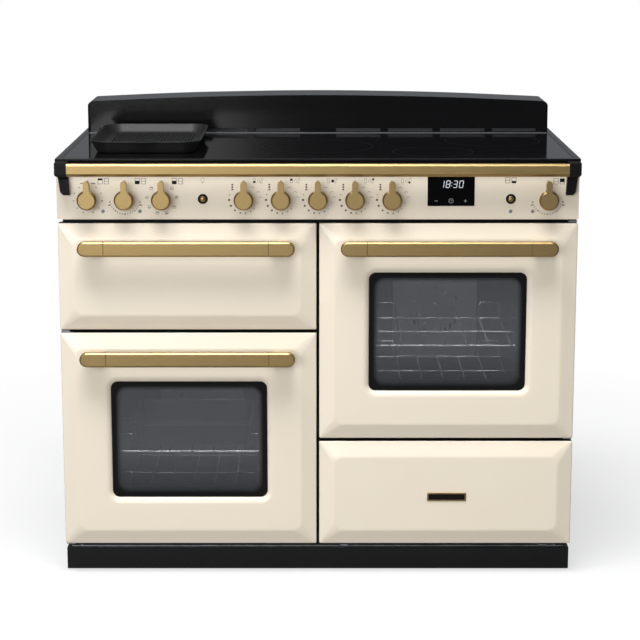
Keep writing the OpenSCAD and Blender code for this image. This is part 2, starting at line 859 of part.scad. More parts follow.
// Wire rectangle with bent corners, lying flat
module wire_rect(x, y, z, bend, r) {
  for (cx = x) bar_y(cx, y[0] + bend, y[1] - bend, z, r);
  for (cy = y) bar_x(x[0] + bend, x[1] - bend, cy, z, r);
  corners = [[x[1] - bend, y[1] - bend, 0], [x[0] + bend, y[1] - bend, 90],
             [x[0] + bend, y[0] + bend, 180], [x[1] - bend, y[0] + bend, 270]];
  for (c = corners)
    translate([c[0], c[1], z]) rotate([0, 0, c[2]]) rotate_extrude(angle = 90)
      translate([bend, 0]) circle(r, $fn = 20);
}

// Loop that stands up from the back bar of a shelf
module shelf_loop(x, y, z) {
  w = loop_w;
  bend = 8;
  r = 2;
  for (side = [-1, 1]) {
    bar_z(x + side * w / 2, y, z, z + loop_h - bend, r);
    translate([x + side * (w / 2 - bend), y, z + loop_h - bend]) rotate([90, 0, 0])
      rotate([0, 0, side > 0 ? 0 : 90]) rotate_extrude(angle = 90)
        translate([bend, 0]) circle(r, $fn = 20);
  }
  bar_x(x - w / 2 + bend, x + w / 2 - bend, y, z + loop_h, r);
}

// Wire shelf: a bent frame, rods from front to back, one cross bar and two loops
function shelf_z(i, level) = opening_z(i)[0] + shelf_low + level * shelf_pitch
  + ladder_wire_r + shelf_wire_r + gap;
module wire_shelf(centre, z) {
  x = grow(around(centre, cavity_w), -shelf_in);
  y = [shelf_y, shelf_y + shelf_d];
  rods = floor((x[1] - x[0] - 30) / rod_pitch / 2);
  rod_z = z + shelf_wire_r + rod_r - join;
  wire_rect(x, y, z, 15, shelf_wire_r);
  for (i = [-rods:rods])
    bar_y(centre + i * rod_pitch, y[0] - 2, y[1] + 2, rod_z, rod_r);
  bar_x(x[0], x[1], (y[0] + y[1]) / 2, z, shelf_wire_r - 0.5);
  for (side = [-1, 1])
    shelf_loop(centre + side * loop_x, y[1], z);
}

pan_rim_z = ledge_z + gap;
pan_h = 40;
module wire_shelves() {
  color("silver") from_front() {
    for (i = [0, 1], level = shelf_levels)
      wire_shelf((2 * i - 1) * column_x, shelf_z(i, level));
    // Grid that stands in the grill pan
    x = around(-column_x, cavity_w - 90);
    y = [cavity_y + 70, cavity_y + 310];
    z = pan_rim_z - pan_h + tin_wall + 16;
    wire_rect(x, y, z, 15, 2.5);
    for (i = [-5:5])
      bar_y(-column_x + i * 26, y[0], y[1], z + 2, 1.5);
    for (cx = x, cy = [y[0] + 40, y[1] - 40])
      bar_z(cx, cy, pan_rim_z - pan_h + tin_wall + gap, z, 2.5);
  }
}

// Open tin with tapered walls and a flat rim
module open_tin(x, y, z_rim, h, taper, rim, r) {
  wall = tin_wall;
  difference() {
    union() {
      hull() {
        plan_rect(x, y, z_rim - 1, 1, r);
        plan_rect(grow(x, -taper), grow(y, -taper), z_rim - h, 1, r);
      }
      plan_rect(grow(x, rim), grow(y, rim), z_rim, wall, r + rim);
    }
    hull() {
      plan_rect(grow(x, -wall), grow(y, -wall), z_rim + wall, cut, r);
      plan_rect(grow(x, -taper - wall), grow(y, -taper - wall), z_rim - h + wall, 0.5, r);
    }
  }
}
module plan_rect(x, y, z, t, r) {
  translate([0, 0, z]) linear_extrude(t) round_rect(x, y, r, $fn = 32);
}

// Sizes of the grill pan and the roasting tin
pan_front = 35;
pan_d = 310;
pan_taper = 6;
pan_rim_w = 7;
pan_corner = 20;
tin_front = 22;
tin_d = 225;
tin_off = 1;
tin_taper = 8;
tin_rim_w = 4;
tin_corner = 26;

// Grill pan on its ledges and a roasting tin on the left oven's upper shelf
module enamel_pans() {
  pan_x = around(-column_x, cavity_w - 2 * ledge_w - 8);
  tin_z = shelf_z(0, 1) + shelf_wire_r + 2 * rod_r - join + gap + tin_h;
  tin_y = shelf_y + tin_front;
  color("darkslategray") from_front() {
    open_tin(pan_x, [cavity_y + pan_front, cavity_y + pan_front + pan_d], pan_rim_z, pan_h,
             pan_taper, pan_rim_w, pan_corner);
    open_tin(around(-column_x - tin_off, tin_w), [tin_y, tin_y + tin_d], tin_z, tin_h,
             tin_taper, tin_rim_w, tin_corner);
  }
}

// Cover over each oven fan with a round group of upright louvres
module fan_guards() {
  color("darkslategray") from_front() for (i = [0, 1]) {
    cx = (2 * i - 1) * column_x;
    x = around(cx, fan_cover_w);
    z = around(fan_z(i), fan_cover_h);
    y = [cavity_back_y - fan_cover_d, cavity_back_y];
    difference() {
      upright(y[0], y[1]) round_rect(x, z, 10);
      upright(y[0] + sheet, y[1] + cut) round_rect(grow(x, -sheet), grow(z, -sheet), 8);
      upright(y[0] - cut, y[0] + sheet + cut) intersection() {
        translate([cx, fan_z(i)]) circle(louvre_r);
        for (k = [-floor(louvre_r / louvre_pitch):floor(louvre_r / louvre_pitch)])
          square_range(around(cx + k * louvre_pitch, louvre_pitch / 2), grow(z, -cut));
      }
    }
  }
}

// Fan wheel on its shaft, which turns in the motor behind the oven
fan_y = [cavity_back_y - fan_cover_d + sheet + 3, cavity_back_y - 12];
module oven_fan(i) {
  blades = 10;
  cx = (2 * i - 1) * column_x;
  translate([cx, 0, fan_z(i)]) {
    bar_y(0, fan_y[0], cavity_back_y + sheet + 30, 0, fan_shaft_r);
    bar_y(0, fan_y[0] + 1, fan_y[1], 0, 12);
    bar_y(0, fan_y[1] - 1.5, fan_y[1], 0, fan_dia / 2 - 4);
    for (k = [0:blades - 1])
      rotate([0, k * 360 / blades, 0])
        translate([fan_dia / 2 - 26, fan_y[0], -6]) rotate([0, 35, 0])
          cube([26, fan_y[1] - fan_y[0] - 0.5, 1.5]);
  }
}
module left_oven_fan() { color("gainsboro") from_front() oven_fan(0); }
module right_oven_fan() { color("gainsboro") from_front() oven_fan(1); }

module fan_motors() {
  motor_r = 34;
  motor_l = 62;
  color("gray") from_front() for (i = [0, 1]) translate([(2 * i - 1) * column_x, 0, fan_z(i)])
    difference() {
      union() {
        bar_y(0, cavity_back_y + sheet, cavity_back_y + sheet + motor_l, 0, motor_r);
        block(around(0, 110), [cavity_back_y + sheet, cavity_back_y + sheet + 3], around(0, 24));
      }
      bar_y(0, cavity_back_y, cavity_back_y + sheet + 34, 0, fan_shaft_r + run_fit);
    }
}

// Lamp in the back wall of each oven: a domed glass and its holder
module oven_lamps() {
  dome = 9;
  color("white") from_front() for (i = [0, 1])
    turned(lamp_x(2 * i - 1), cavity_back_y, lamp_z(i)) union() {
      translate([0, -dome]) intersection() {
        translate([0, 28]) circle(28, $fn = 96);
        square([lamp_r, dome]);
      }
      translate([0, -join]) square([lamp_r - 4 - gap, 34]);
    }
}

// Channel for the drawer's slide strips, standing on the base pan
module drawer_runners() {
  y = [cavity_y, cavity_y + drawer_d - 10];
  lip = 2;
  foot_w = 16;
  lip_gap = 0.5;
  color("silver") from_front() for (out = [-1, 1]) {
    edge = column_x + out * drawer_w / 2;
    web = edge + out * (slide_w + slide_play);
    foot = web - out * foot_w;
    block([min(web, web + out * lip), max(web, web + out * lip)], y,
          [plinth_h + sheet, slide_z + slide_h + gap + lip]);
    for (z = [slide_z - gap - lip, slide_z + slide_h + gap])
      block([min(edge + out * lip_gap, web + out * lip), max(edge + out * lip_gap, web + out * lip)],
            y, [z, z + lip]);
    block([min(web, foot), max(web, foot)], y, [plinth_h + sheet, plinth_h + 2 * sheet]);
  }
}

// Mains terminal box inside the back panel, with a cable entry through the panel
terminal_x = -side_x + 130;
terminal_z = plinth_h + 130;
cable_r = 10;
cable_wall = 3;
module terminal_box() {
  w = 120;
  h = 80;
  d = 45;
  wall = 3;
  color("dimgray") from_front() translate([terminal_x, body_d - sheet, terminal_z]) difference() {
    union() {
      block(around(0, w), [-d, 0], around(0, h));
      bar_y(0, -d / 2, sheet, 0, cable_r + cable_wall);
    }
    block(around(0, w - 2 * wall), [-d + wall, -wall], around(0, h - 2 * wall));
    bar_y(0, -wall - cut, sheet + cut, 0, cable_r);
    bar_y(0, -d + wall, -wall, 0, cable_r + cable_wall + cut);
  }
}

// Pins and plates of the side hinges, and ears with pins under the grill door
module door_hinges() {
  plate_y = [hinge_y - hinge_half_d, frame_y];
  color("black") from_front() {
    for (i = [0, 1]) {
      side = 2 * i - 1;
      x = side_hinge_x(front_x(side), side);
      z = oven_z[i];
      t = hinge_plate_t;
      g = hinge_plate_gap;
      block(around(x, hinge_plate_w), plate_y, [z[1] + g, z[1] + g + t]);
      bar_z(x, hinge_y, z[1] - hinge_depth, z[1] + g + join, hinge_pin_r);
      block(around(x, hinge_plate_w), plate_y, [z[0] - g - t, z[0] - g]);
      bar_z(x, hinge_y, z[0] - g - join, z[0] + hinge_depth, hinge_pin_r);
    }
    for (x = ear_x()) {
      block(around(x, ear_w), [grill_hinge_y, frame_y], [grill_hinge_z - ear_pin_r, grill_hinge_z + ear_r]);
      bar_x(x - ear_w / 2, x + ear_w / 2, grill_hinge_y, grill_hinge_z, ear_r);
      bar_x(x - ear_w / 2 - ear_slack - ear_lug, x + ear_w / 2 + ear_slack + ear_lug,
            grill_hinge_y, grill_hinge_z, ear_pin_r);
    }
  }
}

// Seal round the opening of each oven and of the grill
module door_seals() {
  color("darkslategray") from_front()
    for (s = [[opening_x(-1), opening_z(0)], [opening_x(1), opening_z(1)], [opening_x(-1), grill_opening_z]])
      upright(frame_y - seal_gap + gap, frame_y) difference() {
        round_rect(grow(s[0], seal_w), grow(s[1], seal_w), seal_w + 4);
        round_rect(s[0], s[1], 4);
      }
}

// ---------------------------------------------------------------- hob

module hob_frame() {
  gx = [-glass_x, glass_x];
  gy = [hob_front_trim, upstand_y];
  well = [[-well_x, well_x], well_y];
  color("black") from_front() {
    difference() {
      union() {
        block([-hob_w / 2, hob_w / 2], [0, body_d], [hob_under, hob_top]);
        block(well[0], well[1], [well_floor_z, hob_under + join]);
      }
      block(gx, gy, [hob_top - glass_t, hob_top + cut]);
      block(grow(well[0], -sheet), grow(well[1], -sheet), [well_floor_z + sheet, hob_top]);
      // Hollow under the rear upstand
      block([-upstand_w / 2 + 30, upstand_w / 2 - 30], [upstand_y + 20, body_d - 20],
            [hob_under - cut, hob_top + cut]);
    }
  }
}

module hob_glass() {
  color("black") from_front()
    translate([0, 0, hob_top - glass_t]) linear_extrude(glass_t)
      round_rect([-glass_x + glass_slack, glass_x - glass_slack],
                 [hob_front_trim + glass_slack, upstand_y - glass_slack], 4);
}

// Coils under the glass, each on a post that stands in the well
module induction_coils() {
  coil_t = 12;
  coil_in = 36;
  post_r = 14;
  coil_z = hob_top - glass_t - 2 - coil_t;
  post_z = well_floor_z + sheet;
  color("peru") from_front() for (zone = zones) translate([zone[0], zone[1], 0]) {
    translate([0, 0, post_z]) cylinder(h = coil_z - post_z + join, r = post_r);
    translate([0, 0, coil_z]) cylinder(h = coil_t, d = zone[2] - coil_in, $fn = 96);
  }
}

// Points on an arc, with angles clockwise from straight up
function arc(centre, r, from, to, steps) =
  [for (i = [0:steps]) let (a = from + (to - from) * i / steps) centre + r * [sin(a), cos(a)]];

// Outline of the upstand: a flat arch that runs smoothly into two round corners
module upstand_profile(inset) {
  half = upstand_w / 2;
  chord = half - upstand_r;
  arch_r = (chord * chord + upstand_arch * upstand_arch) / 2 / upstand_arch;
  arch_c = [0, upstand_h - arch_r];
  tilt = asin(chord / (arch_r - upstand_r));
  corner_z = arch_c[1] + (arch_r - upstand_r) * cos(tilt);
  corner = arc([chord, corner_z], upstand_r - inset, 90, tilt, 10);
  arch_steps = 32;
  arch = arc(arch_c, arch_r - inset, tilt, -tilt, arch_steps);
  polygon(concat([[half - inset, 0]], corner, [for (i = [1:arch_steps - 1]) arch[i]],
                 [for (i = [len(corner) - 1:-1:0]) [-corner[i][0], corner[i][1]]],
                 [[inset - half, 0]]));
}

// Rear upstand: arched box with round corners and vent slots at its foot
module rear_upstand() {
  wall = 3;
  slots = 4;
  slot_w = (upstand_w / 2 - slot_edge - slot_mid - (slots - 1) * slot_post) / slots;
  edge_r = 8;
  edge_over = 0.5;
  color("black") from_front() translate([0, 0, hob_top]) difference() {
    intersection() {
      upright(upstand_y, body_d) upstand_profile(0);
      translate([0, 0, -cut]) linear_extrude(upstand_h + 2 * cut)
        round_rect(grow([-upstand_w / 2, upstand_w / 2], edge_over), [upstand_y, body_d + edge_r + cut],
                   edge_r);
    }
    translate([0, 0, -cut]) upright(upstand_y + wall, body_d - wall) upstand_profile(wall);
    for (side = [-1, 1], i = [0:slots - 1])
      block(around(side * (slot_mid + slot_w / 2 + i * (slot_w + slot_post)), slot_w),
            [upstand_y - cut, upstand_y + wall + cut], [4, 4 + slot_h]);
  }
}

// ---------------------------------------------------------------- hand rail and control panel

rail_z = hob_top - rail_drop;
rail_end_x = hob_w / 2 - rail_inset;
rail_tenon = 6;
module rail_section(by) {
  y0 = -rail_reach - by;
  y1 = -rail_reach + rail_t + by;
  z1 = rail_z + by;
  z0 = rail_z - rail_h - by;
  polygon([[y0 + 4, z1], [y1, z1], [y1, z0], [y0 + 6, z0], [y0, z0 + 6], [y0, z1 - 4]]);
}
module hand_rail() {
  color("darkgoldenrod") from_front()
    sideways(-rail_end_x - rail_tenon, rail_end_x + rail_tenon) rail_section(0);
}

// Height of a rail bracket's foot under the step
bracket_foot_h = 41.5;
// Height at which a rail bracket steps back to the panel
function knee_z() = rail_z - rail_h - 0.5;

// Cast bracket at each end of the rail, wrapped round the front corner of the hob
module rail_brackets() {
  outer = hob_w / 2 - 3.7;
  foot_z = knee_z() - bracket_foot_h;
  knee_z = knee_z();
  leg_y = 12;
  color("black") from_front() for (side = [-1, 1]) difference() {
    intersection() {
      sideways(min(side * (rail_end_x - 10), side * outer), max(side * (rail_end_x - 10), side * outer))
        polygon([[-rail_reach - 2, rail_z + 2], [-rail_reach - 2, knee_z + 6], [-rail_reach + 6, knee_z],
                 [-leg_y - 6, knee_z], [-leg_y, knee_z - 8], [-leg_y, foot_z + 4], [-leg_y + 4, foot_z],
                 [panel_y, foot_z], [panel_y, hob_under], [0, hob_under], [0, rail_z + 2]]);
      upright(-rail_reach - 3, panel_y + 1)
        polygon([for (p = [[rail_end_x, rail_z + 3], [outer, rail_z + 3], [outer, knee_z + 4],
                           [outer - 3, knee_z], [outer - 7.5, foot_z + 7], [outer - 13, foot_z],
                           [rail_end_x - 2.5, foot_z], [rail_end_x - 0.5, knee_z], [rail_end_x, knee_z]])
                 [side * p[0], p[1]]]);
    }
    sideways(min(side * (rail_end_x - 12), side * (rail_end_x + rail_tenon + gap)),
             max(side * (rail_end_x - 12), side * (rail_end_x + rail_tenon + gap)))
      rail_section(gap);
  }
}

// Control panel: folded sheet box, open at the back, with its holes
module control_panel() {
  w = panel_w / 2;
  clock = clock_ranges();
  color("oldlace") from_front() difference() {
    block([-w, w], [panel_y, frame_y], [panel_z, hob_under]);
    block([-w + sheet, w - sheet], [panel_y + sheet, frame_y + cut],
          [panel_z + sheet, hob_under - sheet]);
    for (x = knob_x) bar_y(x, panel_y - cut, panel_y + sheet + cut, knob_z, spindle_r + 2);
    for (x = button_x)
      bar_y(x, panel_y - cut, panel_y + sheet + cut, knob_z, button_dia / 2 + bezel_wall + gap - 1);
    for (x = light_x) bar_y(x, panel_y - cut, panel_y + sheet + cut, light_z, light_r + gap);
    upright(panel_y - cut, panel_y + sheet + cut) square_range(clock[0], clock[1]);
  }
}
function clock_ranges() = [around(clock_x, clock_w), [panel_z + clock_rise, panel_z + clock_rise + clock_h]];

module clock_display() {
  c = clock_ranges();
  color("black") from_front() {
    upright(panel_y - 1, panel_y + sheet + 4) round_rect(grow(c[0], -gap), grow(c[1], -gap), 2);
    upright(panel_y + sheet, panel_y + sheet + 26) square_range(grow(c[0], 4), grow(c[1], 4));
  }
}

module indicator_lights() {
  color("slategray") from_front() for (x = light_x)
    turned(x, panel_y - 1.2, light_z) polygon([[0, 0], [2, 0.2], [light_r, 1.2], [light_r, 16], [0, 16]]);
}

module button_bezels() {
  ri = button_dia / 2 + gap;
  ro = button_dia / 2 + bezel_wall;
  color("black") from_front() for (x = button_x)
    turned(x, panel_y, knob_z)
      polygon([[ri, -bezel_out], [ro - 1, -bezel_out], [ro + 0.8, -bezel_out + 1.5], [ro + 0.8, 0],
               [ro - 1, 0], [ro - 1, bezel_barrel], [ri, bezel_barrel]]);
}

// Switches behind the panel: nine rotary ones and two for the push buttons
module panel_switches() {
  y0 = panel_y + sheet;
  push_y = panel_y + bezel_barrel;
  color("gray") from_front() {
    for (x = knob_x) difference() {
      block(around(x, 38), [y0, y0 + switch_d], around(knob_z, 38));
      bar_y(x, y0 - cut, y0 + switch_d + cut, knob_z, spindle_r + run_fit);
    }
    for (x = button_x) difference() {
      block(around(x, 24), [push_y, push_y + 20], around(knob_z, 24));
      bar_y(x, push_y - cut, push_y + 20 + cut, knob_z, spindle_r + run_fit);
    }
  }
}

// Knob: a turned cap with a pointer lever, on its spindle
module knob(index) {
  lever_t = 12;
  face = panel_y - knob_gap - knob_d;
  x = knob_x[index];
  socket = knob_d - 6;
  rim_y0 = 6;
  lever_y = [face, face + lever_t];
  color("darkgoldenrod") from_front() {
    difference() {
      union() {
        turned(x, face, knob_z)
          polygon([[0, 0], [knob_face_r - 0.6, 0], [knob_face_r, 0.6], [knob_face_r, rim_y0 - 3],
                   [knob_rim_r, rim_y0], [knob_rim_r, rim_y0 + 5], [knob_face_r, rim_y0 + 9],
                   [knob_face_r - 1, knob_d], [0, knob_d]]);
        bar_y(x, lever_y[0] + 0.8, lever_y[1], knob_z + lever_l - lever_w / 2, lever_w / 2);
        block(around(x, lever_w), [lever_y[0] + 0.8, lever_y[1]],
              [knob_z, knob_z + lever_l - lever_w / 2]);
        block(around(x, lever_w - 1.6), [lever_y[0], lever_y[1]],
              [knob_z, knob_z + lever_l - lever_w / 2]);
        bar_y(x, lever_y[0], lever_y[1], knob_z + lever_l - lever_w / 2, lever_w / 2 - 0.8);
      }
      bar_y(x, face + knob_d - socket, panel_y, knob_z, spindle_r + run_fit);
    }
    bar_y(x, face + knob_d - socket + gap, panel_y + sheet + switch_d - 2, knob_z, spindle_r);
  }
}
module knob_1() { knob(0); }
module knob_2() { knob(1); }
module knob_3() { knob(2); }
module knob_4() { knob(3); }
module knob_5() { knob(4); }
module knob_6() { knob(5); }
module knob_7() { knob(6); }
module knob_8() { knob(7); }
module knob_9() { knob(8); }

// Push button: a domed cap on a stem
module button(index) {
  r = button_dia / 2;
  dome = 3;
  head = 8;
  y0 = panel_y - bezel_out - button_travel;
  stem = bezel_barrel + bezel_out + button_travel + 14;
  color("darkgoldenrod") from_front()
    turned(button_x[index], y0, knob_z)
      polygon([[0, 0], [r * 0.45, dome * 0.15], [r * 0.8, dome * 0.55], [r, dome], [r, head],
               [spindle_r, head], [spindle_r, stem], [0, stem]]);
}
module button_left() { button(0); }
module button_right() { button(1); }

// ---------------------------------------------------------------- griddle

// Cast griddle: tapered tray with round corners, ribs from front to back and a pouring lip
module griddle() {
  x = around(griddle_x, griddle_w);
  y = around(griddle_y, griddle_d);
  wall = 5;
  floor_t = 6;
  r = 34;
  rib_h = 3;
  lip_r = 22;
  lip_y = y[0] + 15;
  flat_w = griddle_w - 2 * (griddle_taper + wall);
  ribs = floor((flat_w - 12) / rib_pitch / 2);
  inner_y = grow(y, -griddle_taper - wall - 14);
  color("black") from_front() translate([0, 0, hob_top + gap]) {
    difference() {
      union() {
        hull() {
          plan_rect(x, y, griddle_h - 5, 4, r);
          plan_rect(grow(x, -griddle_taper), grow(y, -griddle_taper), 0, 1, r - 8);
        }
        // Pouring lip at the middle of the front
        hull() {
          translate([griddle_x, lip_y, griddle_h - 6]) cylinder(h = 5, r = lip_r, $fn = 32);
          translate([griddle_x, y[0] + griddle_taper, 4]) cylinder(h = 1, r = lip_r / 2, $fn = 32);
        }
      }
      hull() {
        plan_rect(grow(x, -wall), grow(y, -wall), griddle_h - 1, 2, r - wall);
        plan_rect(grow(x, -griddle_taper - wall), grow(y, -griddle_taper - wall), floor_t, 1, r - 12);
      }
      hull() {
        translate([griddle_x, lip_y, griddle_h]) cylinder(h = 2, r = lip_r - wall, $fn = 32);
        translate([griddle_x, y[0] + griddle_taper, floor_t + 4]) cylinder(h = 1, r = lip_r / 4, $fn = 32);
      }
    }
    for (i = [-ribs:ribs])
      block(around(griddle_x + i * rib_pitch, rib_pitch / 2), inner_y, [floor_t - join, floor_t + rib_h]);
  }
}

// ---------------------------------------------------------------- output

side_panel_left();
side_panel_right();
back_panel();
base_frame();
front_frame();
plinth();
levelling_feet();
rear_rollers();
hob_frame();
hob_glass();
induction_coils();
rear_upstand();
rail_brackets();
hand_rail();
control_panel();
clock_display();
indicator_lights();
button_bezels();
panel_switches();
grill_cavity();
left_oven_cavity();
right_oven_cavity();
heating_elements();
shelf_supports();
fan_guards();
fan_motors();
oven_lamps();
drawer_runners();
terminal_box();
door_hinges();
door_seals();
wire_shelves();
enamel_pans();
knob_1();
knob_2();
knob_3();
knob_4();
knob_5();
knob_6();
knob_7();
knob_8();
knob_9();
button_left();
button_right();
grill_door_panel();
grill_door_liner();
grill_door_handle();
left_oven_door_panel();
left_oven_door_glass();
left_oven_door_liner();
left_oven_door_handle();
right_oven_door_panel();
right_oven_door_glass();
right_oven_door_liner();
right_oven_door_handle();
drawer_front();
drawer_box();
griddle();
left_oven_fan();
right_oven_fan();
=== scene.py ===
"""Looks of a 110 cm range cooker: cream vitreous enamel, brushed brass, black induction hob.

Sizes are in millimetres. x and z are the cooker's own, and y is measured back from the hob's
front edge, as in the part's source. at() turns them into metres in the shared frame.
"""
import json
import math

import bpy
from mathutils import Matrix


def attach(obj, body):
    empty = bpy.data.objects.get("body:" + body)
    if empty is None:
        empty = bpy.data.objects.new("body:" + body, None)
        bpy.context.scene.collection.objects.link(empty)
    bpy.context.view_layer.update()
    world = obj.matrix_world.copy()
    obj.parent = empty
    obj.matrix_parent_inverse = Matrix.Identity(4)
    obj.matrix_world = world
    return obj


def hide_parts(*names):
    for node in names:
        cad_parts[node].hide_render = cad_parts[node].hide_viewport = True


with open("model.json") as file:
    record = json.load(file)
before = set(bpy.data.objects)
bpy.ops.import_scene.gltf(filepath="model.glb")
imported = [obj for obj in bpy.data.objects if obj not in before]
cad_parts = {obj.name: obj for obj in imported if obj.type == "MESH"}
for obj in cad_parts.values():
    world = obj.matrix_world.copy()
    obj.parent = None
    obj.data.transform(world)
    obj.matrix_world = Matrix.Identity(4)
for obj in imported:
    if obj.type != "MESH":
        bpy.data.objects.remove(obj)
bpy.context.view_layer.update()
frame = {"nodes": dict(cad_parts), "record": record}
nodes = frame["nodes"]

HOB_FRONT = -280.75
OVEN_X = 273.5
LEFT_WINDOW_Z, RIGHT_WINDOW_Z = 302.5, 537.5
WINDOW_HALF_W, WINDOW_HALF_H = 166, 127.5
GRIDDLE_MID = -367.5
# Where the painted gap shade on the fronts' up-facing flanges starts, in mm behind the hob's
# front edge
GAP_SHADE_START = 5.55
OUTER_PANE_BACK = 18.75
UPRIGHT = (math.pi / 2, 0, 0)
HOLD = {node: body for body, group in frame["record"]["behaviour"]["bodies"].items()
        for node in group}


def at(x, y, z):
    """A point in the cooker's millimetres as one in the frame's metres."""
    return (x / 1000, (y + HOB_FRONT) / 1000, z / 1000)


def only(piece):
    """Leaves one object selected and active."""
    bpy.ops.object.select_all(action="DESELECT")
    piece.select_set(True)
    bpy.context.view_layer.objects.active = piece


def open_up(piece):
    """Goes into edit mode on a piece, with all of it selected."""
    only(piece)
    bpy.ops.object.mode_set(mode="EDIT")
    bpy.ops.mesh.select_all(action="SELECT")


def close_up():
    """Leaves edit mode."""
    bpy.ops.object.mode_set(mode="OBJECT")


# ---------------------------------------------------------------- camera, light, floor

def camera():
    """Eye level a little above the hob, 4 m in front of it, with a long lens."""
    bpy.ops.object.camera_add(location=(0.0, -4.27775, 1.4052),
                              rotation=(math.radians(78.70), 0, 0))
    eye = bpy.context.object
    eye.name = "camera"
    eye.data.lens = 108.98
    eye.data.sensor_width = 36
    eye.data.shift_x = 0.0034
    eye.data.shift_y = -0.03125
    bpy.context.scene.camera = eye


def softbox(name, place, aim, size, watts):
    """A rectangular lamp at a place, in metres, that looks at another."""
    bpy.ops.object.light_add(type="AREA", location=place)
    lamp = bpy.context.object
    lamp.name = name
    lamp.data.shape = "RECTANGLE"
    lamp.data.size, lamp.data.size_y = size
    lamp.data.energy = watts
    way = [a - p for a, p in zip(aim, place)]
    flat = math.hypot(way[0], way[1])
    lamp.rotation_euler = (math.atan2(flat, -way[2]), 0, math.atan2(-way[0], way[1]))


def colour(code):
    """An sRGB hex colour as a linear one."""
    parts = [int(code[i:i + 2], 16) / 255 for i in (0, 2, 4)]
    return tuple(c / 12.92 if c <= 0.04045 else ((c + 0.055) / 1.055) ** 2.4
                 for c in parts) + (1.0,)


def add(tree, kind, inputs=None, **settings):
    """Adds a node. An input that is given a socket is linked, any other value is set."""
    made = tree.nodes.new("ShaderNode" + kind)
    for key, value in settings.items():
        setattr(made, key, value)
    for key, value in (inputs or {}).items():
        if isinstance(value, bpy.types.NodeSocket):
            tree.links.new(value, made.inputs[key])
        else:
            made.inputs[key].default_value = value
    return made


def seen_directly(tree):
    """One for rays straight from the camera or through glass, else zero."""
    path = add(tree, "LightPath")
    return add(tree, "Math", {0: path.outputs["Is Camera Ray"],
                              1: path.outputs["Is Transmission Ray"]}, operation="MAXIMUM")


def room_light():
    """A dim cool room, a little darker behind the cooker, that the camera sees as white."""
    world = bpy.data.worlds.new("studio")
    bpy.context.scene.world = world
    world.use_nodes = True
    tree = world.node_tree
    tree.nodes.clear()
    seen = seen_directly(tree)
    way = add(tree, "SeparateXYZ", {0: add(tree, "TexCoord").outputs["Generated"]})
    level = add(tree, "MapRange", {"Value": way.outputs[1], "From Min": 0.1, "From Max": 0.7,
                                   "To Min": 0.28, "To Max": 0.24})
    room = add(tree, "Background", {"Color": colour("E8ECF2"), "Strength": level.outputs[0]})
    white = add(tree, "Background", {"Color": (1, 1, 1, 1), "Strength": 1.0})
    both = add(tree, "MixShader", {0: seen.outputs[0], 1: room.outputs[0], 2: white.outputs[0]})
    add(tree, "OutputWorld", {"Surface": both.outputs[0]})


def paper_floor():
    """White paper that keeps the cooker's shadow and fades to pure white 1.9 m away."""
    bpy.ops.mesh.primitive_plane_add(size=30, location=(0, 4, -0.0005))
    floor = bpy.context.object
    floor.name = "floor"
    bpy.ops.object.transform_apply()
    paper = bpy.data.materials.new("white_backdrop_paper")
    paper.use_nodes = True
    tree = paper.node_tree
    tree.nodes.clear()
    place = add(tree, "TexCoord")
    near = add(tree, "VectorMath", {0: place.outputs["Object"]}, operation="LENGTH")
    fade = add(tree, "MapRange", {"Value": near.outputs["Value"], "From Min": 0.7,
                                  "From Max": 1.9, "To Min": 0.6, "To Max": 1.0})
    seen = seen_directly(tree)
    share = add(tree, "Math", {0: seen.outputs[0], 1: fade.outputs[0]}, operation="MULTIPLY")
    paint = add(tree, "Mix", {0: seen.outputs[0], 6: colour("8C8C8C"), 7: colour("F4F4F4")},
                data_type="RGBA")
    matt = add(tree, "BsdfDiffuse", {"Color": paint.outputs[2]})
    glow = add(tree, "Emission", {"Color": (1, 1, 1, 1), "Strength": 1.0})
    both = add(tree, "MixShader", {0: share.outputs[0], 1: matt.outputs[0], 2: glow.outputs[0]})
    add(tree, "OutputMaterial", {"Surface": both.outputs[0]})
    floor.data.materials.append(paper)


def lamps():
    """A high soft key in front, a broad low lamp at the front left, a thin one per oven."""
    middle = (0, -0.25, 0.5)
    softbox("overhead", (-0.5, -1.75, 4.8), middle, (3.0, 1.5), 238)
    for name, x, z in (("left_oven_light", -OVEN_X / 1000, 0.485),
                       ("right_oven_light", OVEN_X / 1000, 0.72)):
        softbox(name, (x, -0.225, z), (x, -0.05, z - 0.35), (0.36, 0.02), 0.6)
    softbox("front_left", (-2.5, -6.4, 1.9), middle, (4.4, 3.0), 245)


# ---------------------------------------------------------------- finishes

def finish(name):
    """A new material: its node tree, its shader and its Object coordinates."""
    made = bpy.data.materials.new(name)
    made.use_nodes = True
    tree = made.node_tree
    return made, tree, tree.nodes["Principled BSDF"], add(tree, "TexCoord").outputs["Object"]


def grain(tree, place, shader, per_metre, depth, stretch=(1, 1, 1), detail=3):
    """Fine relief from noise of a given count per metre. Returns its value for other uses."""
    turned = add(tree, "Mapping", {"Vector": place, "Scale": stretch})
    noise = add(tree, "TexNoise", {"Vector": turned.outputs[0], "Scale": per_metre,
                                   "Detail": detail})
    bump = add(tree, "Bump", {"Height": noise.outputs["Fac"], "Distance": depth,
                              "Strength": 0.6})
    tree.links.new(bump.outputs[0], shader.inputs["Normal"])
    return noise.outputs["Fac"]


def vary(tree, value, low, high, shader, socket):
    """Lets a noise value move a shader's input between two amounts."""
    span = add(tree, "MapRange", {"Value": value, "From Min": 0.3, "From Max": 0.7,
                                  "To Min": low, "To Max": high})
    tree.links.new(span.outputs[0], shader.inputs[socket])


def tone(tree, value, dark, light, shader):
    """Lets a noise value move the base colour between two near shades. Returns the colour."""
    mixed = add(tree, "Mix", {0: value, 6: colour(dark), 7: colour(light)}, data_type="RGBA")
    tree.links.new(mixed.outputs[2], shader.inputs["Base Color"])
    return mixed.outputs[2]


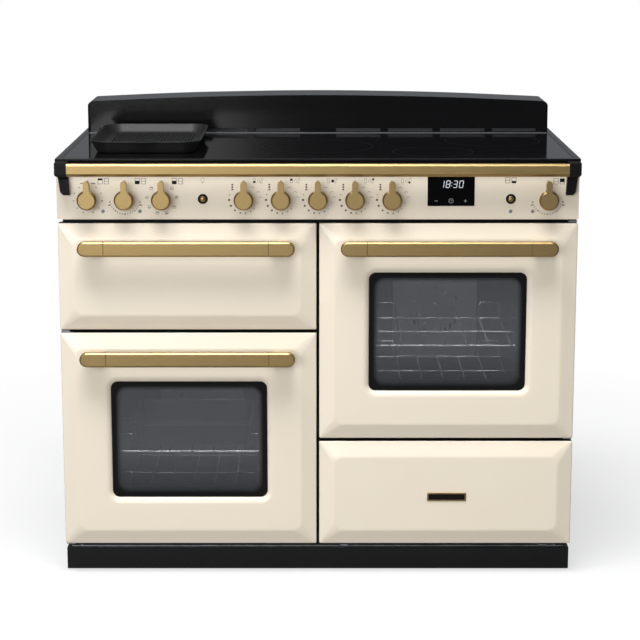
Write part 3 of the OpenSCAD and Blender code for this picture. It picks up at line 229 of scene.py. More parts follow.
def vitreous_enamel(name, dark, light, rough, level, coat=0.0, gap_shade=None, peel_mm=0.06):
    """Glass fused on steel: a thick gloss that levels to a faint orange peel about 5 mm wide.
    Given a third colour, the flanges behind the rim that face up get near-black painted shade,
    for the shadow in the gaps between the fronts."""
    made, tree, shader, place = finish(name)
    peel = grain(tree, place, shader, 200, peel_mm / 1000, detail=1)
    slow = add(tree, "TexNoise", {"Vector": place, "Scale": 9.0, "Detail": 1.0})
    mixed = tone(tree, slow.outputs["Fac"], dark, light, shader)
    # Painted shade: up-facing flange faces behind the rim are coloured near-black, for the
    # shadow in the gaps
    if gap_shade:
        split = add(tree, "SeparateXYZ", {0: place})
        back = add(tree, "MapRange", {"Value": split.outputs["Y"],
                                      "From Min": at(0, GAP_SHADE_START, 0)[1],
                                      "From Max": at(0, GAP_SHADE_START + 0.8, 0)[1]})
        facing = add(tree, "SeparateXYZ", {0: add(tree, "NewGeometry").outputs["True Normal"]})
        upper = add(tree, "Math", {0: facing.outputs["Z"], 1: 0.7}, operation="GREATER_THAN")
        share = add(tree, "Math", {0: back.outputs[0], 1: upper.outputs[0]},
                    operation="MULTIPLY")
        gap_shaded = add(tree, "Mix", {0: share.outputs[0], 6: mixed, 7: colour(gap_shade)},
                    data_type="RGBA")
        tree.links.new(gap_shaded.outputs[2], shader.inputs["Base Color"])
    vary(tree, peel, rough - 0.02, rough + 0.02, shader, "Roughness")
    shader.inputs["IOR"].default_value = 1.5
    shader.inputs["Specular IOR Level"].default_value = level
    shader.inputs["Coat Weight"].default_value = coat
    shader.inputs["Coat Roughness"].default_value = 0.12
    return made


def speckled_enamel():
    """Oven cavity enamel: blue-black with pale specks of about 2 mm."""
    made, tree, shader, place = finish("speckled_cavity_enamel")
    cells = add(tree, "TexVoronoi", {"Vector": place, "Scale": 260.0})
    speck = add(tree, "MapRange", {"Value": cells.outputs["Distance"], "From Min": 0.16,
                                   "From Max": 0.24, "To Min": 0.0, "To Max": 1.0})
    tone(tree, speck.outputs[0], "5A6068", "23262A", shader)
    grain(tree, place, shader, 220, 0.00008)
    shader.inputs["Roughness"].default_value = 0.28
    return made


def brushed_brass():
    """Solid brass, satin brushed along its length and lacquered: scratches 0.3 mm apart are
    drawn 1 mm apart, so that they show."""
    made, tree, shader, place = finish("brushed_brass")
    lines = grain(tree, place, shader, 90, 0.00002, (0.35, 11, 11), 4)
    tone(tree, lines, "9E8659", "AA9264", shader)
    vary(tree, lines, 0.30, 0.42, shader, "Roughness")
    shader.inputs["Metallic"].default_value = 1.0
    return made


def turned_brass():
    """Knob faces and buttons: the same brass, blasted to an even satin of 0.7 mm grain."""
    made, tree, shader, place = finish("satin_brass")
    grit = grain(tree, place, shader, 1500, 0.00002)
    tone(tree, grit, "9E8659", "A89063", shader)
    vary(tree, grit, 0.32, 0.42, shader, "Roughness")
    shader.inputs["Metallic"].default_value = 1.0
    return made


def ceramic_glass():
    """Hob glass: black glass-ceramic, polished on top, with a faint cloud in its gloss."""
    made, tree, shader, place = finish("black_ceramic_glass")
    cloud = add(tree, "TexNoise", {"Vector": place, "Scale": 14.0, "Detail": 2.0})
    tone(tree, cloud.outputs["Fac"], "09090A", "0E0E10", shader)
    vary(tree, cloud.outputs["Fac"], 0.05, 0.09, shader, "Roughness")
    shader.inputs["IOR"].default_value = 1.5
    return made


def door_glass(name, centre_x, centre_z):
    """Float glass with a black ceramic border that fades over 16 mm. The outer pane is tinted,
    with painted shade that darkens it towards the bottom of the window, and the inner one is
    nearly clear."""
    made, tree, shader, place = finish(name)
    split = add(tree, "SeparateXYZ", {0: place})
    reach = []
    for axis, centre, half in (("X", centre_x, WINDOW_HALF_W), ("Z", centre_z, WINDOW_HALF_H)):
        off = add(tree, "Math", {0: split.outputs[axis], 1: centre / 1000},
                  operation="SUBTRACT")
        size = add(tree, "Math", {0: off.outputs[0]}, operation="ABSOLUTE")
        past = add(tree, "Math", {0: size.outputs[0], 1: (half - 34) / 1000},
                   operation="SUBTRACT")
        reach.append(add(tree, "Math", {0: past.outputs[0], 1: 0.0},
                         operation="MAXIMUM").outputs[0])
    corner = add(tree, "CombineXYZ", {0: reach[0], 1: reach[1]})
    edge = add(tree, "VectorMath", {0: corner.outputs[0]}, operation="LENGTH")
    border = add(tree, "MapRange", {"Value": edge.outputs["Value"], "From Min": 0.010,
                                    "From Max": 0.026, "To Min": 0.0, "To Max": 1.0},
                 interpolation_type="SMOOTHSTEP")
    front = add(tree, "MapRange", {"Value": split.outputs["Y"],
                                   "From Min": at(0, OUTER_PANE_BACK, 0)[1],
                                   "From Max": at(0, OUTER_PANE_BACK + 1, 0)[1],
                                   "To Min": 0.42, "To Max": 0.06})
    clear = add(tree, "MapRange", {"Value": border.outputs[0], "To Min": front.outputs[0],
                                   "To Max": 1.0})
    tree.links.new(clear.outputs[0], shader.inputs["Alpha"])
    # Painted shade: the grey tint goes from 65676B down to 3C3E40 at the window's bottom, for
    # the shade inside the oven
    shade_fall = add(tree, "MapRange", {"Value": split.outputs["Z"],
                                  "From Min": (centre_z - WINDOW_HALF_H) / 1000,
                                  "From Max": (centre_z - WINDOW_HALF_H * 0.2) / 1000})
    tint = add(tree, "Mix", {0: shade_fall.outputs[0], 6: colour("3C3E40"), 7: colour("65676B")},
               data_type="RGBA")
    mixed = add(tree, "Mix", {0: border.outputs[0], 6: tint.outputs[2], 7: colour("0A0A0B")},
                data_type="RGBA")
    tree.links.new(mixed.outputs[2], shader.inputs["Base Color"])
    shader.inputs["Roughness"].default_value = 0.08
    shader.inputs["IOR"].default_value = 1.5
    shader.inputs["Specular IOR Level"].default_value = 0.25
    return made


def chromed_wire():
    """Bright chrome plate over drawn steel wire, with a faint drawing grain."""
    made, tree, shader, place = finish("chromed_wire")
    dull = grain(tree, place, shader, 700, 0.00001)
    tone(tree, dull, "C9CBCE", "D8DADC", shader)
    vary(tree, dull, 0.10, 0.20, shader, "Roughness")
    shader.inputs["Metallic"].default_value = 1.0
    return made


def spangled_zinc():
    """Hot-dip galvanised sheet: spangles of about 12 mm in slightly different greys."""
    made, tree, shader, place = finish("galvanised_sheet")
    cells = add(tree, "TexVoronoi", {"Vector": place, "Scale": 85.0})
    grey = add(tree, "SeparateColor", {0: cells.outputs["Color"]})
    tone(tree, grey.outputs[0], "8E9295", "A9ADB0", shader)
    vary(tree, grey.outputs[1], 0.32, 0.46, shader, "Roughness")
    shader.inputs["Metallic"].default_value = 0.9
    return made


def cast_iron():
    """Cast griddle with a baked-on black seasoning: sand grain about 1.5 mm."""
    made, tree, shader, place = finish("seasoned_cast_iron")
    sand = grain(tree, place, shader, 650, 0.00025)
    tone(tree, sand, "171717", "222221", shader)
    vary(tree, sand, 0.38, 0.56, shader, "Roughness")
    shader.inputs["IOR"].default_value = 1.5
    shader.inputs["Specular IOR Level"].default_value = 0.3
    return made


def heat_dark_steel():
    """Element sheath: stainless tube browned by heat along its length."""
    made, tree, shader, place = finish("heat_dark_steel")
    stain = add(tree, "TexNoise", {"Vector": place, "Scale": 30.0, "Detail": 3.0})
    tone(tree, stain.outputs["Fac"], "3A3330", "6A6460", shader)
    vary(tree, stain.outputs["Fac"], 0.35, 0.55, shader, "Roughness")
    shader.inputs["Metallic"].default_value = 1.0
    return made


def milled_aluminium():
    """Pressed aluminium sheet, brushed once: soft lines about 1 mm apart."""
    made, tree, shader, place = finish("satin_aluminium")
    lines = grain(tree, place, shader, 80, 0.00002, (1, 1, 12))
    tone(tree, lines, "AEB1B4", "BDC0C3", shader)
    vary(tree, lines, 0.28, 0.40, shader, "Roughness")
    shader.inputs["Metallic"].default_value = 1.0
    return made


def moulded_plastic(name, dark, light, rough, grit=900, level=0.5):
    """Injection-moulded plastic with a fine spark-eroded grain of about 1 mm."""
    made, tree, shader, place = finish(name)
    spark = grain(tree, place, shader, grit, 0.00004)
    tone(tree, spark, dark, light, shader)
    vary(tree, spark, rough - 0.05, rough + 0.05, shader, "Roughness")
    shader.inputs["IOR"].default_value = 1.46
    shader.inputs["Specular IOR Level"].default_value = level
    return made


def smooth_glass(name, tint, rough, level=0.5):
    """Small pressed-glass or lens parts, with slow waves of 8 mm from the mould."""
    made, tree, shader, place = finish(name)
    wave = grain(tree, place, shader, 120, 0.00003, detail=1)
    tone(tree, wave, tint, tint, shader)
    shader.inputs["Roughness"].default_value = rough
    shader.inputs["IOR"].default_value = 1.5
    shader.inputs["Specular IOR Level"].default_value = level
    return made


def printed_ink(name, code, glow=0.0):
    """Screen-printed ceramic ink, a little uneven in density."""
    made, tree, shader, place = finish(name)
    thin = add(tree, "TexNoise", {"Vector": place, "Scale": 900.0})
    tone(tree, thin.outputs["Fac"], code, code, shader)
    vary(tree, thin.outputs["Fac"], 0.40, 0.52, shader, "Roughness")
    shader.inputs["Specular IOR Level"].default_value = 0.15
    shader.inputs["Emission Color"].default_value = colour(code)
    shader.inputs["Emission Strength"].default_value = glow
    return made


# The last colour, 060606, is painted shade on the fronts' up-facing flanges, for the shadow in
# the gaps
CREAM = vitreous_enamel("cream_vitreous_enamel", "E9DDC9", "EBE0CD", 0.34, 0.5, 0.2, "060606")
BLACK = vitreous_enamel("black_vitreous_enamel", "0A0A0B", "0D0D0E", 0.12, 0.2, peel_mm=0.01)
# A darker copy of the cream enamel: painted shade for the panel under the hob's front edge and
# the rail
SHADED_PANEL_CREAM = vitreous_enamel("cream_panel_enamel_painted_shade", "E0D4C0", "E3D8C5", 0.34, 0.5, 0.2)
SATIN_BLACK = vitreous_enamel("satin_black_enamel", "101012", "141416", 0.40, 0.25, peel_mm=0.02)
CAVITY = speckled_enamel()
BRASS = brushed_brass()
KNOB_BRASS = turned_brass()
HOB = ceramic_glass()
DISPLAY = smooth_glass("black_display_glass", "020203", 0.05, level=0.12)
LEFT_PANE = door_glass("left_door_glass", -OVEN_X, LEFT_WINDOW_Z)
RIGHT_PANE = door_glass("right_door_glass", OVEN_X, RIGHT_WINDOW_Z)
LAMP = smooth_glass("frosted_lamp_glass", "E8E2D0", 0.35)
NEON = smooth_glass("neon_lens", "7C828C", 0.15)
BLACK_PLASTIC = moulded_plastic("black_moulded_plastic", "0B0B0B", "0F0F0F", 0.42, level=0.15)
SWITCH_PLASTIC = moulded_plastic("grey_switch_plastic", "5B5E62", "66696D", 0.5)
ZINC = spangled_zinc()
CHROME = chromed_wire()
ELEMENT = heat_dark_steel()
IRON = cast_iron()
ALUMINIUM = milled_aluminium()
SILICONE = moulded_plastic("grey_silicone_seal", "2C2D2F", "36373A", 0.55, 500)
PAN_ENAMEL = speckled_enamel()
NYLON = moulded_plastic("roller_nylon", "C9C7BE", "D4D2CA", 0.45)
INK = printed_ink("black_ceramic_ink", "080808")
GREY_INK = printed_ink("grey_ceramic_ink", "5D5A55")
PALE_INK = printed_ink("pale_hob_print", "1B1B1D")
LIT = printed_ink("white_display_segments", "CDD4DB", 0.45)
DIM = printed_ink("grey_touch_marks", "8A9096", 0.2)
VENT = moulded_plastic("dark_vent_mesh", "2A2B2D", "323336", 0.5)
TRIM = moulded_plastic("grey_trim", "4C4D50", "58595C", 0.3, level=0.4)


# ---------------------------------------------------------------- making pieces

def rounded_loop(x, z, r, y, flat, steps):
    """In edit mode, adds one rounded rectangle of edges: upright, or flat at height y."""
    w, h = (x[1] - x[0]) / 1000, (z[1] - z[0]) / 1000
    cx, cz = (x[0] + x[1]) / 2, (z[0] + z[1]) / 2
    bpy.ops.mesh.select_all(action="DESELECT")
    if flat:
        place, turn, size = at(cx, cz, y), (0, 0, 0), (w, h, 1)
    else:
        place, turn, size = at(cx, y, cz), UPRIGHT, (w, 1, h)
    bpy.ops.mesh.primitive_plane_add(size=1, location=place, rotation=turn)
    bpy.ops.transform.resize(value=size, center_override=place)
    bpy.ops.mesh.bevel(offset=max(r, 0.4) / 1000, segments=steps, affect="VERTICES")
    bpy.ops.object.vertex_group_assign_new()
    bpy.ops.mesh.delete(type="ONLY_FACE")


def blank(name):
    """Starts an empty piece, left in edit mode."""
    bpy.ops.object.select_all(action="DESELECT")
    bpy.ops.mesh.primitive_plane_add(size=0.01)
    piece = bpy.context.object
    piece.name = name
    bpy.ops.object.mode_set(mode="EDIT")
    bpy.ops.mesh.select_mode(type="VERT")
    bpy.ops.mesh.select_all(action="SELECT")
    bpy.ops.mesh.delete(type="VERT")
    return piece


def loft(name, loops, steps, flat=False, first=True, last=True):
    """A skin over rounded rectangles, each given as (x range, z range, corner radius, y), and
    closed at its first and last one. With flat, the rectangles lie in plan and are given as
    (x range, y range, radius, z)."""
    piece = blank(name)
    for x, z, r, y in loops:
        rounded_loop(x, z, r, y, flat, steps)
    groups = piece.vertex_groups
    for i in range(len(loops) - 1):
        bpy.ops.mesh.select_all(action="DESELECT")
        for k in (i, i + 1):
            groups.active_index = k
            bpy.ops.object.vertex_group_select()
        bpy.ops.mesh.bridge_edge_loops()
    for k, wanted in ((0, first), (len(loops) - 1, last)):
        if wanted:
            bpy.ops.mesh.select_all(action="DESELECT")
            groups.active_index = k
            bpy.ops.object.vertex_group_select()
            bpy.ops.mesh.edge_face_add()
    bpy.ops.mesh.select_all(action="SELECT")
    bpy.ops.mesh.normals_make_consistent(inside=False)
    close_up()
    bpy.ops.object.vertex_group_remove(all=True)
    return piece


def grown(span, by):
    """A range widened at both ends, or narrowed by a negative amount."""
    return (span[0] - by, span[1] + by)


def between(first, second, share):
    """The range that lies a share of the way from one range to another."""
    return [a + (b - a) * share for a, b in zip(first, second)]


def apply(piece, kind, **settings):
    """Adds a modifier with its settings and applies it."""
    only(piece)
    modifier = piece.modifiers.new(kind.lower(), kind)
    for key, value in settings.items():
        setattr(modifier, key, value)
    bpy.ops.object.modifier_apply(modifier=modifier.name)


def smooth(piece, angle=40):
    """Shades rounded edges smooth and keeps the large faces between them flat."""
    only(piece)
    bpy.ops.object.shade_smooth_by_angle(angle=math.radians(angle))
    apply(piece, "WEIGHTED_NORMAL", keep_sharp=True, weight=100)


def dress(piece, material, body, slot, *stands_for):
    """Gives a finished piece its material, the body it rides on and what it replaces."""
    piece.data.materials.clear()
    piece.data.materials.append(material)
    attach(piece, body)
    if stands_for:
        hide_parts(*stands_for)


def merged_copy(node, name):
    """A copy of a CAD node with its triangles merged into whole faces."""
    piece = nodes[node].copy()
    piece.data = nodes[node].data.copy()
    for key in list(piece.keys()):
        del piece[key]
    piece.parent = None
    piece.name = name
    bpy.context.scene.collection.objects.link(piece)
    only(piece)
    if piece.data.has_custom_normals:
        bpy.ops.mesh.customdata_custom_splitnormals_clear()
    open_up(piece)
    bpy.ops.mesh.remove_doubles(threshold=0.000002)
    bpy.ops.mesh.dissolve_limited(angle_limit=math.radians(0.6))
    close_up()
    return piece


def eased(node, name, material, slot, width, shape=None):
    """A CAD node with its hard edges rounded by a width in millimetres, after a function has
    reshaped it where one is given."""
    piece = merged_copy(node, name)
    if shape:
        shape(piece)
    if width:
        apply(piece, "BEVEL", width=width / 1000, segments=3, limit_method="ANGLE",
              angle_limit=math.radians(30), use_clamp_overlap=True)
    smooth(piece)
    dress(piece, material, HOLD[node], slot, node)


# ---------------------------------------------------------------- enamelled fronts

RIM_Y, FACE_Y, FLANGE_END_Y = 3.5, -6.5, 25.4
FACE_IN, FACE_R = 37, 20
LIP_OUT, LIP_R = 14, 29
LEFT_X, RIGHT_X = (-544, -3), (3, 544)
BOTTOM, TOP = 70, 769.2

# The band from the rim to the face: how far in, which share of the rise, corner radius
BAND = ((3.6, 0.05, 5), (8.5, 0.20, 8), (15, 0.415, 12), (21, 0.62, 15), (26.5, 0.81, 17),
        (29.5, 0.905, 18.5), (31.4, 0.958, 19.3), (33.4, 0.99, FACE_R), (36, 1.0, FACE_R))
# The lip round a window: how far out of the opening, how far behind the face, corner radius
LIP = ((LIP_OUT, -0.1, LIP_R), (11, 0.15, 26), (8.5, 0.7, 23.5), (6, 1.8, 21),
       (3.5, 3.4, 18.5), (1.5, 5.2, 16.5), (0.3, 6.6, 15.3), (0, 7.9, 15))


def enamelled_front(name, node, x, z, window=None):
    """A pressed front: turned-back rim, sloping band rolled softly into a raised face, and
    round a window a lip that turns in to the glass."""
    loops = [(x, z, 3, FLANGE_END_Y), (x, z, 3, 7.0), (x, z, 3, RIM_Y + 2.2),
             (grown(x, -0.6), grown(z, -0.6), 3, RIM_Y + 0.9),
             (grown(x, -1.8), grown(z, -1.8), 3.5, RIM_Y + 0.1)]
    for run, rise, r in BAND:
        y = RIM_Y + (FACE_Y - RIM_Y) * rise
        loops.append((grown(x, -run), grown(z, -run), r, y))
    if window:
        wx = grown((window[0], window[0]), WINDOW_HALF_W)
        wz = grown((window[1], window[1]), WINDOW_HALF_H)
        for share in (0.25, 0.5, 0.75):
            loops.append((between(grown(x, -FACE_IN), grown(wx, LIP_OUT), share),
                          between(grown(z, -FACE_IN), grown(wz, LIP_OUT), share),
                          FACE_R + (LIP_R - FACE_R) * share, FACE_Y - 0.2 * share))
        for out, back, r in LIP:
            loops.append((grown(wx, out), grown(wz, out), r, FACE_Y + back))
    piece = loft(name, loops, 7, first=False, last=not window)
    mark = ((x[0] + x[1]) / 2000, (z[0] + 12) / 1000)
    low = min(piece.data.polygons,
              key=lambda f: abs(f.center.x - mark[0]) + abs(f.center.z - mark[1]))
    if low.normal.y > 0:
        open_up(piece)
        bpy.ops.mesh.flip_normals()
        close_up()
    apply(piece, "SOLIDIFY", thickness=0.0008, offset=-1.0)
    smooth(piece, 50)
    dress(piece, CREAM, HOLD[node], "cream_enamel", node)
    return piece


def short_flange(piece):
    """The grill door's lower flange ends ahead of the hinge ears, which turn through it."""
    for v in piece.data.vertices:
        if v.co.z < 0.5455 and v.co.y > at(0, 6.5, 0)[1]:
            v.co.y = at(0, 6.2 if v.co.y > at(0, 10, 0)[1] else 5.95, 0)[1]


short_flange(enamelled_front("grill_door_front", "grill_door_panel", LEFT_X, (542, TOP)))
enamelled_front("left_oven_door_front", "left_oven_door_panel", LEFT_X, (BOTTOM, 535),
                (-OVEN_X, LEFT_WINDOW_Z))
enamelled_front("right_oven_door_front", "right_oven_door_panel", RIGHT_X, (305, TOP),
                (OVEN_X, RIGHT_WINDOW_Z))
enamelled_front("drawer_front_pressing", "drawer_front", RIGHT_X, (BOTTOM, 298))

# ---------------------------------------------------------------- CAD nodes with soft edges

def drawn_in_blocks(piece):
    """The handle's end blocks taper behind the grip, to 72 % of their width and half of
    their height at the door."""
    grip_back = -28.0
    open_up(piece)
    bpy.ops.mesh.bisect(plane_co=at(0, grip_back, 0), plane_no=(0, 1, 0))
    close_up()
    back = [v for v in piece.data.vertices if v.co.y > at(0, grip_back + 0.1, 0)[1]]
    middle = sum(v.co.z for v in back) / len(back)
    for side in (-1, 1):
        centre = sum(v.co.x for v in piece.data.vertices) / len(piece.data.vertices)
        group = [v for v in back if (v.co.x - centre) * side > 0]
        ends = [v.co.x for v in group]
        hub = (min(ends) + max(ends)) / 2
        for v in group:
            v.co.x = hub + (v.co.x - hub) * 0.72
            v.co.z = middle + (v.co.z - middle) * 0.5


def tight_shoulders(piece):
    """The upstand's shoulders go from a radius of 20 mm to one of 12 mm."""
    half, radius, new_radius = 0.53225, 0.020, 0.012
    slack = radius - new_radius
    centre_x = half - radius
    for side in (-1, 1):
        arc = [v for v in piece.data.vertices if v.co.x * side > centre_x - 0.0005
               and v.co.z > 0.93]
        start = min(v.co.z for v in arc)
        for v in arc:
            reach = max(0.0, min(1.0, (v.co.x * side - centre_x) / radius))
            rise = min(1.0, (v.co.z - start) / radius)
            v.co.x += side * slack * (1 - reach)
            v.co.z += slack * (1 - rise) * reach


for place in ("left_oven_door", "right_oven_door", "grill_door"):
    eased(place + "_handle", place + "_handle_brass", BRASS, "brass", 0.6,
          shape=drawn_in_blocks)
eased("hand_rail", "hand_rail_brass", BRASS, "brass", 0.5)
for n in range(1, 10):
    eased("knob_%d" % n, "knob_%d_brass" % n, KNOB_BRASS, "brass", 0.6)
eased("button_left", "left_button_brass", KNOB_BRASS, "brass", 0.4)
eased("button_right", "right_button_brass", KNOB_BRASS, "brass", 0.4)
eased("button_bezels", "button_bezels_black", BLACK_PLASTIC, "black_plastic", 0.5)
eased("rail_brackets", "rail_brackets_black", BLACK_PLASTIC, "black_plastic", 1.6)
eased("rear_upstand", "rear_upstand_enamel", BLACK, "black_enamel", 0.9,
      shape=tight_shoulders)
eased("hob_frame", "hob_frame_enamel", BLACK, "black_enamel", 0.8)
eased("hob_glass", "hob_glass_plate", HOB, "hob_glass", 0.8)
eased("plinth", "plinth_enamel", SATIN_BLACK, "black_enamel", 1.0)
# The panel wears the darker cream copy: painted shade under the hob's edge and the rail
eased("control_panel", "control_panel_enamel", SHADED_PANEL_CREAM, "cream_enamel", 0.5)
eased("clock_display", "clock_glass", DISPLAY, "display_glass", 0.4)
eased("indicator_lights", "neon_lenses", NEON, "neon_lens", 0.4)
eased("wire_shelves", "chromed_shelves", CHROME, "chrome_wire", 0)
eased("shelf_supports", "chromed_ladders", CHROME, "chrome_wire", 0)
eased("enamel_pans", "enamelled_tins", PAN_ENAMEL, "pan_enamel", 0.5)
eased("fan_guards", "fan_covers", ALUMINIUM, "aluminium", 0.3)
eased("levelling_feet", "levelling_feet_steel", ZINC, "galvanised", 0.4)
eased("rear_rollers", "rear_rollers_nylon", NYLON, "roller_nylon", 0.8)
eased("terminal_box", "terminal_box_plastic", BLACK_PLASTIC, "black_plastic", 0.8)

# ---------------------------------------------------------------- griddle

GRIDDLE_X, GRIDDLE_Y, GRIDDLE_Z = (-487, -248), (78, 443), 905.3
# From the underside over the rim to the pan's floor: how far in, corner radius, height
GRIDDLE_FORM = (
    (17, 30, 0.3), (15.6, 31, 1.2), (11, 35, 9), (6, 40, 18), (1.6, 44, 23), (0.3, 45, 24.6),
    (0, 45, 25.3), (0.8, 44.5, 25.9), (2.2, 43, 25.95), (3.6, 42, 25.6), (4.6, 41, 24.4),
    (7, 38, 20.5), (12, 33, 13.5), (15, 30, 9.4), (18, 27, 7.2), (22, 23, 6.25), (30, 18, 6.0))
SPOUT_HALF_W, SPOUT_REACH = 36, 6.2
SPOUT_FOOT_Z, RIM_TOP_Z = 917, 931.3
RIBS_EACH_SIDE, RIB_PITCH, RIB_W, RIB_L = 13, 6.6, 3.6, 300


def spout(piece):
    """Draws the middle of the front wall forward as a pouring lip, more towards the rim."""
    open_up(piece)
    for off in (-SPOUT_HALF_W, -29, -22, -15, -8, 8, 15, 22, 29, SPOUT_HALF_W):
        bpy.ops.mesh.select_all(action="SELECT")
        bpy.ops.mesh.bisect(plane_co=at(GRIDDLE_MID + off, 0, 0), plane_no=(1, 0, 0))
    close_up()
    for v in piece.data.vertices:
        near = 1 - abs(v.co.x - GRIDDLE_MID / 1000) / (SPOUT_HALF_W / 1000)
        height = (v.co.z * 1000 - SPOUT_FOOT_Z) / (RIM_TOP_Z - SPOUT_FOOT_Z)
        if near > 0 and height > 0 and v.co.y < at(0, 100, 0)[1]:
            v.co.y -= SPOUT_REACH / 1000 * math.sin(near * math.pi / 2) ** 2 * height


def ribs(piece):
    """Adds the ribs that stand on the pan's floor, shorter towards its round corners."""
    only(piece)
    bpy.ops.object.mode_set(mode="EDIT")
    for k in range(-RIBS_EACH_SIDE, RIBS_EACH_SIDE + 1):
        inset = max(0, abs(k) - 11) * 5
        bpy.ops.mesh.select_all(action="DESELECT")
        place = at(GRIDDLE_MID + RIB_PITCH * k, sum(GRIDDLE_Y) / 2, GRIDDLE_Z + 7.0)
        bpy.ops.mesh.primitive_cube_add(size=1, location=place)
        size = (RIB_W / 1000, (RIB_L - 2 * inset) / 1000, RIB_W / 1000)
        bpy.ops.transform.resize(value=size, center_override=place)
    close_up()


griddle = loft("cast_griddle", [(grown(GRIDDLE_X, -by), grown(GRIDDLE_Y, -by), r, GRIDDLE_Z + z)
                                for by, r, z in GRIDDLE_FORM], 10, flat=True)
spout(griddle)
ribs(griddle)
apply(griddle, "BEVEL", width=0.0009, segments=2, limit_method="ANGLE",
      angle_limit=math.radians(60))
smooth(griddle, 45)
dress(griddle, IRON, "griddle", "cast_iron", "griddle")

# ---------------------------------------------------------------- CAD nodes kept as they are

CARRIED = {
    "side_panel_left": SATIN_BLACK, "side_panel_right": SATIN_BLACK, "back_panel": ZINC,
    "base_frame": ZINC, "front_frame": SATIN_BLACK, "induction_coils": ALUMINIUM,
    "panel_switches": SWITCH_PLASTIC, "grill_cavity": CAVITY, "left_oven_cavity": CAVITY,
    "right_oven_cavity": CAVITY, "heating_elements": ELEMENT, "fan_motors": ALUMINIUM,
    "oven_lamps": LAMP, "drawer_runners": ZINC, "door_hinges": ZINC, "door_seals": SILICONE,
    "left_oven_door_glass": LEFT_PANE, "right_oven_door_glass": RIGHT_PANE,
    "left_oven_door_liner": SATIN_BLACK, "right_oven_door_liner": SATIN_BLACK,
    "grill_door_liner": SATIN_BLACK, "drawer_box": ZINC, "left_oven_fan": ALUMINIUM,
    "right_oven_fan": ALUMINIUM,
}
for node, material in CARRIED.items():
    for holder in nodes[node].material_slots:
        holder.material = material

# ---------------------------------------------------------------- printing

INK_DEPTH = 0.05


def bar(x, z, w, h, y, lean=0.0):
    """A flat upright bar, leaning clockwise by an angle in degrees."""
    bpy.ops.mesh.select_all(action="DESELECT")
    bpy.ops.mesh.primitive_plane_add(size=1, location=at(x, y, z), rotation=UPRIGHT)
    bpy.ops.transform.resize(value=(w / 1000, 1, h / 1000), center_override=at(x, y, z))
    if lean:
        bpy.ops.transform.rotate(value=math.radians(-lean), orient_axis="Y",
                                 center_override=at(x, y, z))


def spot(x, z, r, y, sides):
    """A flat upright disc."""
    bpy.ops.mesh.select_all(action="DESELECT")
    bpy.ops.mesh.primitive_circle_add(vertices=sides, radius=r / 1000, fill_type="NGON",
                                      location=at(x, y, z), rotation=UPRIGHT)


def hoop(x, z, r, t, y, sides, flat=False):
    """A thin ring of line width t: upright, or with flat in plan at (x, z) and height y."""
    place = at(x, z, y) if flat else at(x, y, z)
    bpy.ops.mesh.select_all(action="DESELECT")
    bpy.ops.mesh.primitive_circle_add(vertices=sides, radius=r / 1000, fill_type="NOTHING",
                                      location=place, rotation=(0, 0, 0) if flat else UPRIGHT)
    bpy.ops.mesh.extrude_edges_move()
    k = (r - t) / r
    bpy.ops.transform.resize(value=(k, k, 1) if flat else (k, 1, k), center_override=place)


def frame_box(x, z, w, h, t, y):
    """The outline of a box, drawn as four bars."""
    for side in (-1, 1):
        bar(x + side * (w - t) / 2, z, t, h, y)
        bar(x, z + side * (h - t) / 2, w - 2 * t, t, y)


def done(piece, material, slot, up=False):
    """Ends a sheet of marks: a skin of ink's thickness that faces the front, or up."""
    close_up()
    for face in piece.data.polygons:
        facing = face.normal.z if up else -face.normal.y
        if facing < 0:
            face.flip()
    apply(piece, "SOLIDIFY", thickness=INK_DEPTH / 1000, offset=1.0)
    dress(piece, material, "cooker", slot)


PANEL_Y = 0.97
KNOB_Z = 821
KNOBS = (-479, -402, -325, -154, -77, 0, 77, 154, 479)
LEFT_BUTTON_X, RIGHT_BUTTON_X = -239.5, 402
SCALE_START, SCALE_SPAN, SCALE_STEPS = 102, 156, 16


def polar(x, angle, r):
    """A point round a knob: clockwise from the top, in degrees."""
    turn = math.radians(angle)
    return x + r * math.sin(turn), KNOB_Z + r * math.cos(turn)


def two_boxes(x, z, first, second):
    """The oven-position icons: two small boxes, one of them partly filled."""
    for cx, (low, high) in ((x - 6.5, first), (x + 6.5, second)):
        frame_box(cx, z, 10, 12, 0.8, PANEL_Y)
        if high > low:
            bar(cx, z - 6 + 12 * (low + high) / 2, 10, 12 * (high - low), PANEL_Y)
        else:
            bar(cx, z - 6 + 12 * low, 9, 0.8, PANEL_Y)


def level_scale(x):
    """The grill's dial: dots on both sides of the knob and a bar on both sides of its top."""
    for angle in (36, 67, 98, 130, 160):
        for side in (-1, 1):
            spot(*polar(x, side * angle, 30), 1.2, PANEL_Y, 10)
    bar(x - 11, KNOB_Z + 32.5, 9, 1.3, PANEL_Y)
    bar(x + 12, KNOB_Z + 32.5, 9, 1.3, PANEL_Y)


def temperature_scale(x):
    """An oven's dial: dots under the knob, every fourth one a bar, and two outer bars."""
    for k in range(SCALE_STEPS + 1):
        px, pz = polar(x, SCALE_START + k * (SCALE_SPAN / SCALE_STEPS), 32)
        if k % 4 == 0:
            bar(px, pz, 3.0, 2.1, PANEL_Y)
        else:
            spot(px, pz, 1.05, PANEL_Y, 8)
    for k in (1, SCALE_STEPS - 1):
        px, pz = polar(x, SCALE_START + k * (SCALE_SPAN / SCALE_STEPS), 35.2)
        bar(px, pz, 5.0, 1.8, PANEL_Y)


def function_scale(x):
    """The function knob's dial: boxes with plain bars and rings in them."""
    for angle in (43, 84, 123, 162):
        for side in (-1, 1):
            px, pz = polar(x, side * angle, 31)
            frame_box(px, pz, 6.4, 5.6, 0.6, PANEL_Y)
            if side * angle in (43, 162, -123):
                bar(px, pz - 1.6, 4.4, 0.8, PANEL_Y)
            if side * angle in (84, -43, -162, 123):
                bar(px, pz + 1.2, 4.4, 0.8, PANEL_Y)
            if side * angle in (84, 162, -84):
                hoop(px, pz, 1.3, 0.5, PANEL_Y, sides=10)


